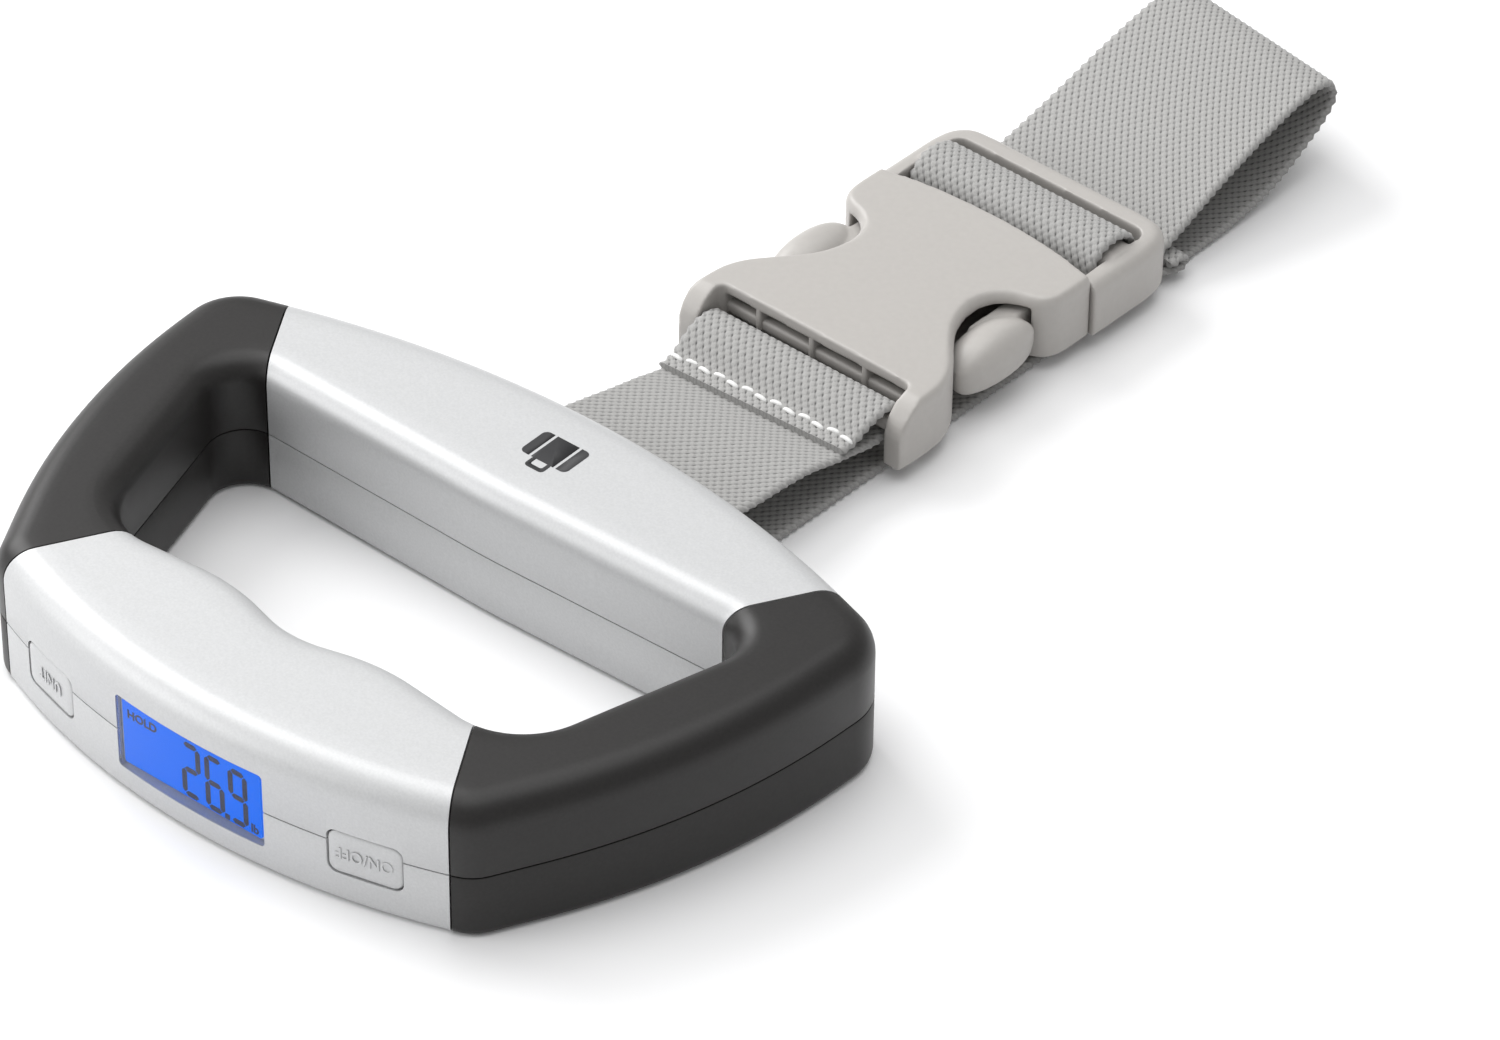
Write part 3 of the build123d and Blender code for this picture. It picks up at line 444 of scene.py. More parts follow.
def bottom_profile():
    """The same round the section of a lower half."""
    b = SEAM_BEVEL
    p = [("o", WALL, SEAM_Z), ("o", WALL, WALL), ("i", WALL, WALL), ("i", WALL, SEAM_Z)]
    p += [("i", SLIT_DEEP, SEAM_Z), ("i", SLIT_DEEP, SEAM_Z - SLIT)]
    p += [("i", GROOVE_LIP, SEAM_Z - SLIT), ("i", 0, SEAM_Z - b)]
    p += [("i", x, FOOT_ROUND - z) for x, z in arc(FOOT_ROUND, 0, math.pi / 2, 6)]
    p += [("m", t, 0.0) for t in (0.75, 0.5, 0.25)]
    p += [("o", x, FOOT_ROUND - z) for x, z in arc(FOOT_ROUND, 0, math.pi / 2, 6)][::-1]
    p += [("o", 0, SEAM_Z - b), ("o", GROOVE_LIP, SEAM_Z - SLIT)]
    p += [("o", SLIT_DEEP, SEAM_Z - SLIT), ("o", SLIT_DEEP, SEAM_Z)]
    return p


def housing_piece(name, zone, side, upper, material, n=150):
    """One bar or grip half, swept between its two seams. zone is front, back or arm."""
    profile = top_profile() if upper else bottom_profile()
    shift = SEAM_GAP if zone == "arm" else -SEAM_GAP
    if zone == "arm":
        lines = [seam_line(FRONT_SEAM, side < 0, shift), seam_line(BACK_SEAM, side < 0, shift)]
    else:
        seam = FRONT_SEAM if zone == "front" else BACK_SEAM
        lines = [seam_line(seam, False, shift), seam_line(seam, True, shift)]

    def inside(pts):
        if zone == "arm":
            return np.all([(pts - p) @ nrm > 0 for p, nrm in lines], 0) & (pts[:, 0] * side > 0)
        half = pts[:, 1] < ARM_MIDDLE[1] if zone == "front" else pts[:, 1] > ARM_MIDDLE[1]
        return np.all([(pts - p) @ nrm < 0 for p, nrm in lines], 0) & half

    cache = {}

    def row(kind, value):
        """n points: o and i are the outer and inner outline, inset by value; m lies between them."""
        key = (kind, round(value, 5))
        if key not in cache:
            if kind == "m":
                a = row("o", TOP_ROUND if upper else FOOT_ROUND)
                b = row("i", INNER_ROUND if upper else FOOT_ROUND)
                cache[key] = a * (1 - value) + b * value
            else:
                curve, inset = (OUTER, value) if kind == "o" else (HOLE, -value)
                pts = between(curve, inset, *lines, inside, n)
                d = pts[-1] - pts[0]
                reverse = d[0] < 0 if zone != "arm" else d[1] < 0
                cache[key] = pts[::-1] if reverse else pts
        return cache[key]

    k = len(profile)
    verts = []
    for kind, value, z in profile:
        verts += [(x * MM, y * MM, z * MM) for x, y in row(kind, value)]
    faces = []
    for j in range(k):
        a, b = j * n, ((j + 1) % k) * n
        faces += [(a + i, a + i + 1, b + i + 1, b + i) for i in range(n - 1)]
    faces.append(tuple(j * n for j in range(k)))
    faces.append(tuple(j * n + n - 1 for j in range(k))[::-1])
    o = make(name, verts, faces, material)
    fix_normals(o)
    shade(o)
    return o


def sweep_housing():
    """The four silver bars and four rubber grip halves, by zone and upper or lower."""
    made = {}
    for upper in (True, False):
        level = "top" if upper else "bottom"
        for zone in ("front", "back"):
            name = f"{level}_{zone}_bar"
            made[zone, upper] = housing_piece(name, zone, 0, upper, SILVER, n=170)
        for side, label in ((1, "right"), (-1, "left")):
            name = f"grip_skin_{level}_{label}"
            made[label, upper] = housing_piece(name, "arm", side, upper, RUBBER, n=110)
    return made


def cut_openings(made):
    """Window, button holes, strap slot, battery door and screw holes."""
    front_low, front_high = -95, -76
    button_back = -72.5
    back_low, back_high = 3.5, 20
    slot_mid = (SLOT_LOW + SLOT_HIGH) / 2
    for upper in (True, False):
        front = made["front", upper]
        window = rounded_rect(WINDOW_W, WINDOW_H, 0.8, 0, WINDOW_Z)
        cut(front, prism(window, front_low, front_high, front_plane))
        for s in (1, -1):
            hole = rounded_rect(BUTTON_W, BUTTON_H, BUTTON_R, s * BUTTON_X, BUTTON_Z)
            cut(front, prism(hole, front_low, button_back, front_plane))
        slot = rounded_rect(SLOT_W, SLOT_HIGH - SLOT_LOW, 2.0, 0, slot_mid)
        cut(made["back", upper], prism(slot, back_low, back_high, front_plane))
    door = [(DOOR_RIGHT, DOOR_FRONT), (DOOR_LEFT, DOOR_FRONT)]
    door += [(DOOR_LEFT, DOOR_BACK), (DOOR_RIGHT, DOOR_BACK)]
    cut(made["front", False], prism(door, -1, DOOR_DEEP, plan))
    for zone, (x, y) in (("front", FRONT_SCREW), ("back", BACK_SCREW)):
        for s in (1, -1):
            cut(made[zone, False], prism(circle(SCREW_R, s * x, y), -1, SCREW_DEEP, plan))


def build_housing():
    made = sweep_housing()
    cut_openings(made)
    for (zone, upper), o in made.items():
        shade(o, 32)
        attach(o, "housing")
        if zone in ("front", "back"):
            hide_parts("top_shell" if upper else "bottom_shell")
        else:
            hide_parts(f"grip_{'top' if upper else 'bottom'}_{zone}")


build_housing()


# ---------------------------------------------------------------- front face
FACE_R = 125.0
FACE_Y = -81.9
CAP_BACK = -75.25
CAP_EDGE = ((0.0, 0.35), (0.1, 0.12), (0.32, 0.0), (1.2, -0.06))  # (inset, depth behind the face)


def face_y(x):
    """Y of the curved front face at x."""
    return FACE_Y + FACE_R - math.sqrt(FACE_R**2 - x * x)


def text_mesh(name, words, height, thick, place, material, bold=0.0, spacing=1.0, wide=1.0):
    """Letters as a thin raised mesh. place(u, v, h) gives metres; u runs right, v up, h out of the face."""
    cu = bpy.data.curves.new(name, "FONT")
    cu.body = words
    cu.size = 1.0
    cu.align_x, cu.align_y = "CENTER", "CENTER"
    cu.space_character = spacing
    cu.offset = bold
    cu.resolution_u = 6
    o = bpy.data.objects.new(name, cu)
    bpy.context.scene.collection.objects.link(o)
    o.data.extrude = 0.5
    dg = bpy.context.evaluated_depsgraph_get()
    me = bpy.data.meshes.new_from_object(o.evaluated_get(dg))
    bpy.data.objects.remove(o)
    xs = [v.co.x for v in me.vertices]
    ys = [v.co.y for v in me.vertices]
    k = height / (max(ys) - min(ys))
    cx, cy = (max(xs) + min(xs)) / 2, (max(ys) + min(ys)) / 2
    for v in me.vertices:
        v.co = Vector(place((v.co.x - cx) * k * wide, (v.co.y - cy) * k, thick * (v.co.z + 0.5)))
    piece = bpy.data.objects.new(name, me)
    bpy.context.scene.collection.objects.link(piece)
    paint(piece, material)
    fix_normals(piece)
    return piece


def button(name, side, words, body, node):
    """A face-flush button with a soft edge and raised letters that read from above."""
    cx, cz = side * BUTTON_X, BUTTON_Z
    w, h = BUTTON_W - 2 * BUTTON_GAP, BUTTON_H - 2 * BUTTON_GAP

    def ring(inset, y_at):
        outline = rounded_rect(w - 2 * inset, h - 2 * inset, max(BUTTON_R - inset, 0.4), cx, cz, 6)
        return [(x * MM, y_at(x) * MM, z * MM) for x, z in outline]

    rings = [ring(0.0, lambda x: CAP_BACK)]
    rings += [ring(inset, lambda x: face_y(x) + depth) for inset, depth in CAP_EDGE]
    n = len(rings[0])
    verts = [p for row in rings for p in row]
    faces = bands(len(rings), n)
    faces.append(tuple(range((len(rings) - 1) * n, len(rings) * n)))
    faces.append(tuple(range(n))[::-1])
    o = make(name, verts, faces, SILVER)
    triangulate_caps(o)
    fix_normals(o)
    shade(o, 50)
    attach(o, body)
    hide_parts(node)

    def place(u, v, d):
        x = cx - u
        return (x * MM, (face_y(x) - 0.05 - d) * MM, (cz - v) * MM)

    letters = text_mesh(
        name + "_letters", words, 2.1, 0.16, place, SILVER, bold=0.012, spacing=1.04, wide=0.84
    )
    shade(letters, 30)
    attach(letters, body)


button("on_off_cap", 1, "ON/OFF", "on_off_button_body", "on_off_button")
button("unit_cap", -1, "UNIT", "unit_button_body", "unit_button")


# ---------------------------------------------------------------- display
SEGMENTS = {
    "2": "abged",
    "6": "acdefg",
    "9": "abcdfg",
}


def segment_outline(kind, x, z, w, h, t):
    """Hexagon of one seven-segment bar. The digit's lower left corner is (x, z)."""
    g = 0.12
    half = h / 2
    bars = {
        "a": ((x, z + h), (x + w, z + h)),
        "g": ((x, z + half), (x + w, z + half)),
        "d": ((x, z), (x + w, z)),
        "f": ((x, z + half), (x, z + h)),
        "b": ((x + w, z + half), (x + w, z + h)),
        "e": ((x, z), (x, z + half)),
        "c": ((x + w, z), (x + w, z + half)),
    }
    (ax, az), (bx, bz) = bars[kind]
    d = Vector((bx - ax, bz - az)).normalized()
    nrm = Vector((-d.y, d.x))
    a = Vector((ax, az)) + d * g
    b = Vector((bx, bz)) - d * g
    e = t / 2
    return [a, a + d * e + nrm * e, b - d * e + nrm * e, b, b - d * e - nrm * e, a + d * e - nrm * e]


LENS_W, LENS_H, LENS_T, LENS_BACK = 28.4, 13.0, 0.3, 0.12
LCD_Y = -80.55
LCD_T = 0.5
PRINT_T = 0.04
DIGIT_W, DIGIT_H, DIGIT_BAR, DIGIT_PITCH = 2.8, 9.3, 0.95, 4.6
DIGIT_X, DIGIT_Z = -1.5, 6.1


def build_lens():
    """Clear window that follows the curve of the front face."""
    cols = 24
    verts, faces = [], []
    for depth in (0.0, LENS_T):
        for z in (WINDOW_Z - LENS_H / 2, WINDOW_Z + LENS_H / 2):
            for i in range(cols + 1):
                x = -LENS_W / 2 + LENS_W * i / cols
                verts.append((x * MM, (face_y(x) + LENS_BACK + depth) * MM, z * MM))
    m = cols + 1
    for i in range(cols):
        faces.append((i, i + 1, m + i + 1, m + i))
        faces.append((2 * m + i, 3 * m + i, 3 * m + i + 1, 2 * m + i + 1))
        faces.append((i, 2 * m + i, 2 * m + i + 1, i + 1))
        faces.append((m + i, m + i + 1, 3 * m + i + 1, 3 * m + i))
    faces += [(0, m, 3 * m, 2 * m), (cols, 2 * m + cols, 3 * m + cols, m + cols)]
    glass = make("window_lens", verts, faces, LENS, smooth=30)
    fix_normals(glass)
    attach(glass, "housing")
    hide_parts("display_lens")


def build_lcd_face():
    """Blue face of the LCD just behind the lens, and the thin grey rim round it."""
    face = prism(rounded_rect(27.0, 11.8, 0.3, 0, WINDOW_Z, 3), LCD_Y, LCD_Y + LCD_T, front_plane, "lcd_face")
    paint(face, LCD)
    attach(face, "housing")
    outline = rounded_rect(28.6, 13.2, 0.6, 0, WINDOW_Z, 3)
    rim = prism(outline, LCD_Y + 0.55, LCD_Y + 1.2, front_plane, "lcd_rim")
    paint(rim, principled("lcd_rim_grey", (0.45, 0.47, 0.5), 0.4))
    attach(rim, "housing")


def build_digits():
    """The reading 26.9 in seven-segment bars, and the words HOLD and lb."""
    polys = []
    for k, digit in enumerate("269"):
        for kind in SEGMENTS[digit]:
            x = DIGIT_X + k * DIGIT_PITCH
            outline = segment_outline(kind, x, DIGIT_Z, DIGIT_W, DIGIT_H, DIGIT_BAR)
            polys.append([(q.x, q.y) for q in outline])
    point_x = DIGIT_X + 2 * DIGIT_PITCH - 0.9
    polys.append(rounded_rect(0.95, 0.95, 0.15, point_x, DIGIT_Z - 0.1, 2))
    verts, faces = [], []
    for poly in polys:
        a = len(verts)
        verts += [front_plane(u, v, LCD_Y - PRINT_T) for u, v in poly]
        verts += [front_plane(u, v, LCD_Y) for u, v in poly]
        n = len(poly)
        faces.append(tuple(range(a, a + n)))
        faces.append(tuple(range(a + n, a + 2 * n))[::-1])
        faces += [(a + i, a + (i + 1) % n, a + n + (i + 1) % n, a + n + i) for i in range(n)]
    digits = make("lcd_digits", verts, faces, SEGMENT)
    fix_normals(digits)
    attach(digits, "housing")

    def at(cx, cz):
        return lambda u, v, d: ((cx + u) * MM, (LCD_Y - PRINT_T + d) * MM, (cz + v) * MM)

    for name, words, cx, cz in (("lcd_hold", "HOLD", -9.6, 14.9), ("lcd_lb", "lb", 12.2, 6.6)):
        piece = text_mesh(name, words, 1.6, PRINT_T, at(cx, cz), SEGMENT, bold=0.03)
        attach(piece, "housing")


build_lens()
build_lcd_face()
build_digits()


# ---------------------------------------------------------------- webbing
def catmull(points, step=0.4):
    """A smooth line through 2-D points, sampled evenly."""
    p = np.array(points, float)
    p = np.vstack([2 * p[0] - p[1], p, 2 * p[-1] - p[-2]])
    out = []
    for i in range(1, len(p) - 2):
        p0, p1, p2, p3 = p[i - 1], p[i], p[i + 1], p[i + 2]
        pairs = ((p0, p1), (p1, p2), (p2, p3))
        t01, t12, t23 = (max(np.linalg.norm(b - a), 1e-6) ** 0.5 for a, b in pairs)
        m1 = (p2 - p1) + t12 * ((p1 - p0) / t01 - (p2 - p0) / (t01 + t12))
        m2 = (p2 - p1) + t12 * ((p3 - p2) / t23 - (p3 - p1) / (t12 + t23))
        for t in np.linspace(0, 1, 24, endpoint=False):
            h = 2 * t**3 - 3 * t**2 + 1, t**3 - 2 * t**2 + t, -2 * t**3 + 3 * t**2, t**3 - t**2
            out.append(h[0] * p1 + h[1] * m1 + h[2] * p2 + h[3] * m2)
    out.append(p[-2])
    out = np.array(out)
    d = np.r_[0, np.cumsum(np.linalg.norm(np.diff(out, axis=0), axis=1))]
    n = max(2, int(round(d[-1] / step)))
    at = np.linspace(0, d[-1], n + 1)
    return np.c_[np.interp(at, d, out[:, 0]), np.interp(at, d, out[:, 1])], d[-1]


YARN_W, YARN_L = WEB_W / 26, 1.8
RELIEF = 0.34
BEAD_U, BEAD_V = 0.46, 0.42  # half sizes of a bead, as shares of the yarn's pitch
EDGE_ROUND = 0.8
SCALLOP = 0.45


def weave(u, v):
    """Height of a plain weave, 0 to 1, at u across and v along: nested oval beads in staggered rows."""
    nearest = np.full(np.broadcast(u, v).shape, 9.0)
    for du, dv in ((0, 0), (YARN_W / 2, YARN_L / 2)):
        a = (u + du) / YARN_W
        b = (v + dv) / YARN_L
        a = (a - np.round(a)) / BEAD_U
        b = (b - np.round(b)) / BEAD_V
        nearest = np.minimum(nearest, a * a + b * b)
    return np.clip(1 - nearest, 0, 1) ** 0.8


def webbing(name, path, lift=None, skew=None, drift=None, across=130, step=YARN_L / 4):
    """Woven strap along a path (along, up) of its middle surface, with relief and scalloped edges."""
    line, length = catmull(path, step)
    n = len(line)
    tangent = np.gradient(line, axis=0)
    tangent /= np.linalg.norm(tangent, axis=1)[:, None]
    normal = np.c_[-tangent[:, 1], tangent[:, 0]]
    run = np.arange(n) * length / (n - 1)
    half = WEB_W / 2
    us = np.linspace(-half, half, across + 1)
    inside = np.clip((half - np.abs(us)) / EDGE_ROUND, 0, 1)
    round_off = np.sqrt(1 - (1 - inside) ** 2 + 0.02)
    scallop = SCALLOP * (np.cos(2 * math.pi * run / YARN_L) * 0.5 + 0.5)
    verts, groove_shade_heights = [], []
    for face in (1, -1):
        high = weave((us + half + (0 if face > 0 else YARN_W / 2))[None, :], run[:, None])
        high[:, 0] = high[:, -1] = 0.5
        groove_shade_heights.append(high.ravel())
        thick = (WEB_T / 2 - RELIEF + RELIEF * high) * round_off
        for j in range(n):
            for i, u in enumerate(us):
                w = u + (math.copysign(scallop[j], u) if i in (0, across) else 0)
                s = line[j, 0] + normal[j, 0] * thick[j, i] * face
                z = line[j, 1] + normal[j, 1] * thick[j, i] * face
                if drift:
                    w += drift(length - run[j])
                if skew:
                    s += skew(w, line[j, 0], line[j, 1])
                if lift:
                    z += lift(w, line[j, 0], line[j, 1])
                verts.append(tuple(strap_point(w, s, z)))
    m = across + 1
    size = n * m
    faces = []
    for j in range(n - 1):
        for i in range(across):
            a = j * m + i
            faces.append((a, a + 1, a + m + 1, a + m))
            b = size + a
            faces.append((b, b + m, b + m + 1, b + 1))
        for i in (0, across):
            a = j * m + i
            quad = (a, a + m, size + a + m, size + a)
            faces.append(quad if i == 0 else quad[::-1])
    for j in (0, n - 1):
        for i in range(across):
            a = j * m + i
            quad = (a, size + a, size + a + 1, a + 1)
            faces.append(quad if j == 0 else quad[::-1])
    o = make(name, verts, faces, WEBBING, smooth=70)
    # These weave heights also drive the painted shade between the beads in the webbing material.
    attribute = o.data.attributes.new("weave", "FLOAT", "POINT")
    attribute.data.foreach_set("value", np.concatenate(groove_shade_heights).astype(np.float32))
    fix_normals(o)
    return o, length


def arc_points(cx, cz, r, start, end, n):
    """n points of an arc, with its angles in degrees."""
    return [
        (cx + r * math.cos(math.radians(a)), cz + r * math.sin(math.radians(a)))
        for a in np.linspace(start, end, n)
    ]


def smoothstep(x):
    x = min(1.0, max(0.0, x))
    return x * x * (3 - 2 * x)


def upper_twist(w, s, z):
    """The sewn run lies a little higher on its right edge."""
    return 1.25 * w / (WEB_W / 2) * smoothstep((s - 14) / 20) * (1 - 0.75 * smoothstep((s - 42) / 8))


PIN = (0.0, 11.2)
WRAP_R = 3.55
BAR = (51.5, 8.7)

UPPER_PATH = (
    [(0.9, 14.72), (3.5, 14.55), (7.5, 13.7), (12.5, 12.2), (18, 10.7)]
    + [(26, 9.5), (34, 8.2), (40, 6.7), (45.5, 6.0)]
    + arc_points(*BAR, 2.35, -80, 90, 9)
    + [(48.6, 10.75), (46.2, 9.7), (44.0, 8.35), (42.2, 7.75), (40.6, 7.75)]
)
upper, upper_length = webbing("strap_sewn_run", UPPER_PATH, lift=upper_twist)
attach(upper, "strap")
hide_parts("strap_upper")


def loop_skew(w, s, z):
    """The far fold lies askew, its left end further out."""
    return -4.2 * w / (WEB_W / 2) * smoothstep((s - 108) / 55)


def loop_lift(w, s, z):
    """The upper run of the loop stands a little higher on its right edge."""
    return 1.1 * w / (WEB_W / 2) * smoothstep((s - 112) / 25) * smoothstep((z - 2.5) / 4)


def tail_drift(to_end):
    """The sewn tail sticks out a little to the right."""
    return 2.3 * smoothstep((13 - to_end) / 6)


LOOP_PATH = (
    arc_points(*PIN, WRAP_R, 96, 268, 12)
    # down from the pin and along the floor
    + [(3.5, 7.35), (8, 6.2), (14, 4.1), (19.5, 2.2), (25, 0.95), (31, 0.74)]
    + [(60, 0.74), (90, 0.74), (120, 0.76)]
    # round the far fold
    + [(132, 0.95), (142, 1.8), (150.5, 3.4), (158, 5.9), (163.6, 9.2), (166.0, 12.2)]
    + [(165.0, 14.9), (161.5, 16.1)]
    # back to the adjuster and over its bar
    + [(156, 15.6), (148, 13.9), (140, 11.7), (131, 9.0), (123, 6.6), (117, 5.0), (113.8, 4.6), (111.6, 5.4)]
    + [(111.0, 7.4), (110.9, 10.0), (109.6, 12.8), (106.6, 14.3), (103.0, 14.0), (100.6, 12.0), (99.9, 8.8)]
    # the tail, with its hem
    + [(100.3, 5.2), (102.0, 3.0), (106, 2.5), (112, 2.3), (118, 2.2)]
    + [(121.6, 2.25), (122.5, 3.0), (121.6, 3.75), (118.2, 3.8)]
)
loop, loop_length = webbing("strap_loop_run", LOOP_PATH, lift=loop_lift, skew=loop_skew, drift=tail_drift)
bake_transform(loop)
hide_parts("strap_lower", "strap_loop")


# ---------------------------------------------------------------- buckle
VOXEL = 0.3


def remesh(o, smooth_steps, share):
    """Melts the edges of a boolean model into moulded roundings, then keeps a share of its faces."""
    mod = o.modifiers.new("voxel", "REMESH")
    mod.mode = "VOXEL"
    mod.voxel_size = VOXEL * MM
    mod.use_smooth_shade = True
    sm = o.modifiers.new("soften", "SMOOTH")
    sm.factor = 0.5
    sm.iterations = smooth_steps
    dec = o.modifiers.new("thin", "DECIMATE")
    dec.ratio = share
    apply_modifiers(o)
    shade(o, 60)


def moulded(name, right_side, low, high, top_r, bottom_r, step=0.8):
    """A symmetric block with rounded top and bottom edges. right_side runs from near middle to far middle."""
    right, _ = catmull(right_side, step)
    ring = np.vstack([right, np.c_[-right[::-1, 0], right[::-1, 1]][1:-1]])
    tangent = np.roll(ring, -1, 0) - np.roll(ring, 1, 0)
    tangent /= np.linalg.norm(tangent, axis=1)[:, None]
    inward = np.c_[-tangent[:, 1], tangent[:, 0]]
    layers = [(x, low + bottom_r - z) for x, z in arc(bottom_r, 0, math.pi / 2, 6)][::-1]
    layers += [(x, high - top_r + z) for x, z in arc(top_r, 0, math.pi / 2, 8)]
    n = len(ring)
    verts = [strap_point(*(ring[i] + inward[i] * inset), z) for inset, z in layers for i in range(n)]
    faces = [tuple(range(n))[::-1], tuple(range(len(verts) - n, len(verts)))]
    faces += bands(len(layers), n)
    o = make(name, verts, faces, BUCKLE)
    triangulate_caps(o)
    fix_normals(o)
    return o


def join_extras(o, extras, name, body, node):
    """Adds crisp inner pieces to a softened moulding and hands it to its body."""
    bm = bmesh.new()
    bm.from_mesh(o.data)
    for e in extras:
        bm.from_mesh(e.data)
        bpy.data.objects.remove(e)
    bm.to_mesh(o.data)
    bm.free()
    o.name = name
    paint(o, BUCKLE)
    for p in o.data.polygons:
        p.material_index = 0
    shade(o, 50)
    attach(o, body)
    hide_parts(node)


EAR_S, PLATE_S, FAR_S, FAR_BOW = 49.2, 55.6, 95.8, 2.3
BUCKLE_HALF = 22
PRONG_X, ROOT_S, ROOT_R = 15.6, 95.6, 2.0
PRONG_LOW, PRONG_HIGH = 4.9, 11.0
FEMALE_SIDE = [
    (0, 45), (10, 45), (17, 45), (20.6, 45.9), (22.9, 48.4), (23.4, 52), (23.4, 56),
    (23.0, 59.6), (21.6, 63.0), (19.2, 66.2), (16.7, 69.2), (14.5, 72.4), (13.2, 76.0),
    (12.9, 79.0), (13.9, 82.0), (16.2, 84.1), (18.8, 85.1),
    (20.8, 86.3), (21.9, 88.2), (22.2, 90.6), (22.2, 95), (22.2, 99), (21.4, 102.6), (18.6, 105), (12, 105.4),
    (0, 105.4),
]


def far_bow(x, extra=0.0):
    """Far edge of the socket, bowed outwards."""
    return FAR_S + extra + FAR_BOW * (1 - (x / BUCKLE_HALF) ** 2)


def build_female():
    body = moulded("buckle_body", FEMALE_SIDE, 2.4, 14.3, 1.8, 0.9)
    # bowed far edge
    bow = [(30, 110), (-30, 110)] + [(x, far_bow(x)) for x in np.linspace(-30, 30, 31)]
    cut(body, prism(bow, -2, 30, strap_plan))
    cut(body, prism([(-40, 40), (40, 40), (40, EAR_S), (-40, EAR_S)], -2, 30, strap_plan))
    # slot for the webbing, open towards the handle
    cut(body, prism(rounded_rect(39.2, 16, 1.2, 0, PLATE_S - 8), -2, 30, strap_plan))
    # ears slope down to the handle
    nose_s, nose_z, nose_r = 56.2, 7.3, 7
    turns = np.linspace(math.pi, math.pi / 2, 12)
    nose = [(nose_s + nose_r * math.cos(a), nose_z + nose_r * math.sin(a)) for a in turns]
    cut(body, prism([(40, 30), (40, nose_z)] + nose + [(nose_s, 30)], -40, 40, strap_side))
    # hollow for the prongs
    cut(body, prism(rounded_rect(37.4, 37.2, 2, 0, 80.6), 4.4, 12.0, strap_plan))
    cut(body, prism(rounded_rect(37.6, 12, 1.5, 0, 58), 4.4, 12.2, strap_plan))
    # slightly crowned top
    crown = [(x, 13.9 + 0.42 * (1 - (x / 24) ** 2)) for x in np.linspace(-30, 30, 36)]
    crown += [(30, 30), (-30, 30)]
    cut(body, prism(crown, 40, 110, lambda u, v, h: tuple(strap_point(u, h, v))))
    remesh(body, 6, 0.3)
    # web bar, ledge and ribs inside the near slot
    extras = [
        prism(circle(1.35, *BAR, 28), -20.6, 20.6, strap_side),
        prism(rounded_rect(2.0, 2.2, 0.6, PLATE_S + 1.4, 9.3, 3), -19.4, 19.4, strap_side),
        prism(rounded_rect(37.4, 1.2, 0.3, 0, PLATE_S + 4.2, 2), 4.2, 12.3, strap_plan),
    ]
    for x in (-12.0, -1.0, 10.0):
        extras.append(prism(rounded_rect(1.1, 4.4, 0.3, x, PLATE_S + 2.2, 2), 8.6, 12.4, strap_plan))
    join_extras(body, extras, "buckle_socket", "strap", "buckle_female")


build_female()

MALE_SIDE = [
    (0, 88), (10, 88), (17, 88), (20.8, 89.2), (23.0, 92.2), (23.2, 97), (23.2, 104),
    (23.1, 110.5), (22.2, 114.0),
    (19.8, 116.4), (16.2, 117.0), (9, 117.0), (0, 117.0),
]


def build_male():
    body = moulded("adjuster_body", MALE_SIDE, 2.5, 12.6, 2.2, 1.0)
    # near side follows the bowed end of the socket
    bow = [(-30, 60), (30, 60)] + [(x, far_bow(x, 0.3)) for x in np.linspace(30, -30, 31)]
    cut(body, prism(bow, -2, 30, strap_plan))
    # window for the webbing, and room for it below the end bar and over the near wall
    cut(body, prism(rounded_rect(39.4, 14.2, 2.2, 0, 105.6), -2, 30, strap_plan))
    cut(body, prism([(-19.7, 90), (19.7, 90), (19.7, 100), (-19.7, 100)], 8.6, 30, strap_plan))
    cut(body, prism([(-19.7, 90), (19.7, 90), (19.7, 130), (-19.7, 130)], -2, 5.2, strap_plan))
    cut(body, prism(rounded_rect(8.2, 7.2, 2.8, 105.5, 9.3), -20.5, 20.5, strap_side, "bar"), "UNION")
    remesh(body, 6, 0.3)
    extras = [
        prism(rounded_rect(36.4, 5, 1, 0, 95.6, 4), 4.9, 11.2, strap_plan),
        prism(rounded_rect(6.8, 32, 1.5, 0, 80.5, 5), 5.2, 11.2, strap_plan),
    ]
    join_extras(body, extras, "adjuster_frame", "male", "buckle_male")


build_male()

PAD_X, PAD_S = 18.9, 75.9
PAD_IN, PAD_OUT, PAD_LONG = 5.4, 3.8, 8.9
PAD_TOP, PAD_DOME, PAD_LOW = 12.7, 4.6, 4.55
PAD_FOOT = ((0.0, 3.0), (0.3, 1.5), (0.9, 0.5), (1.8, 0.0))  # (inset, height above the pad's underside)


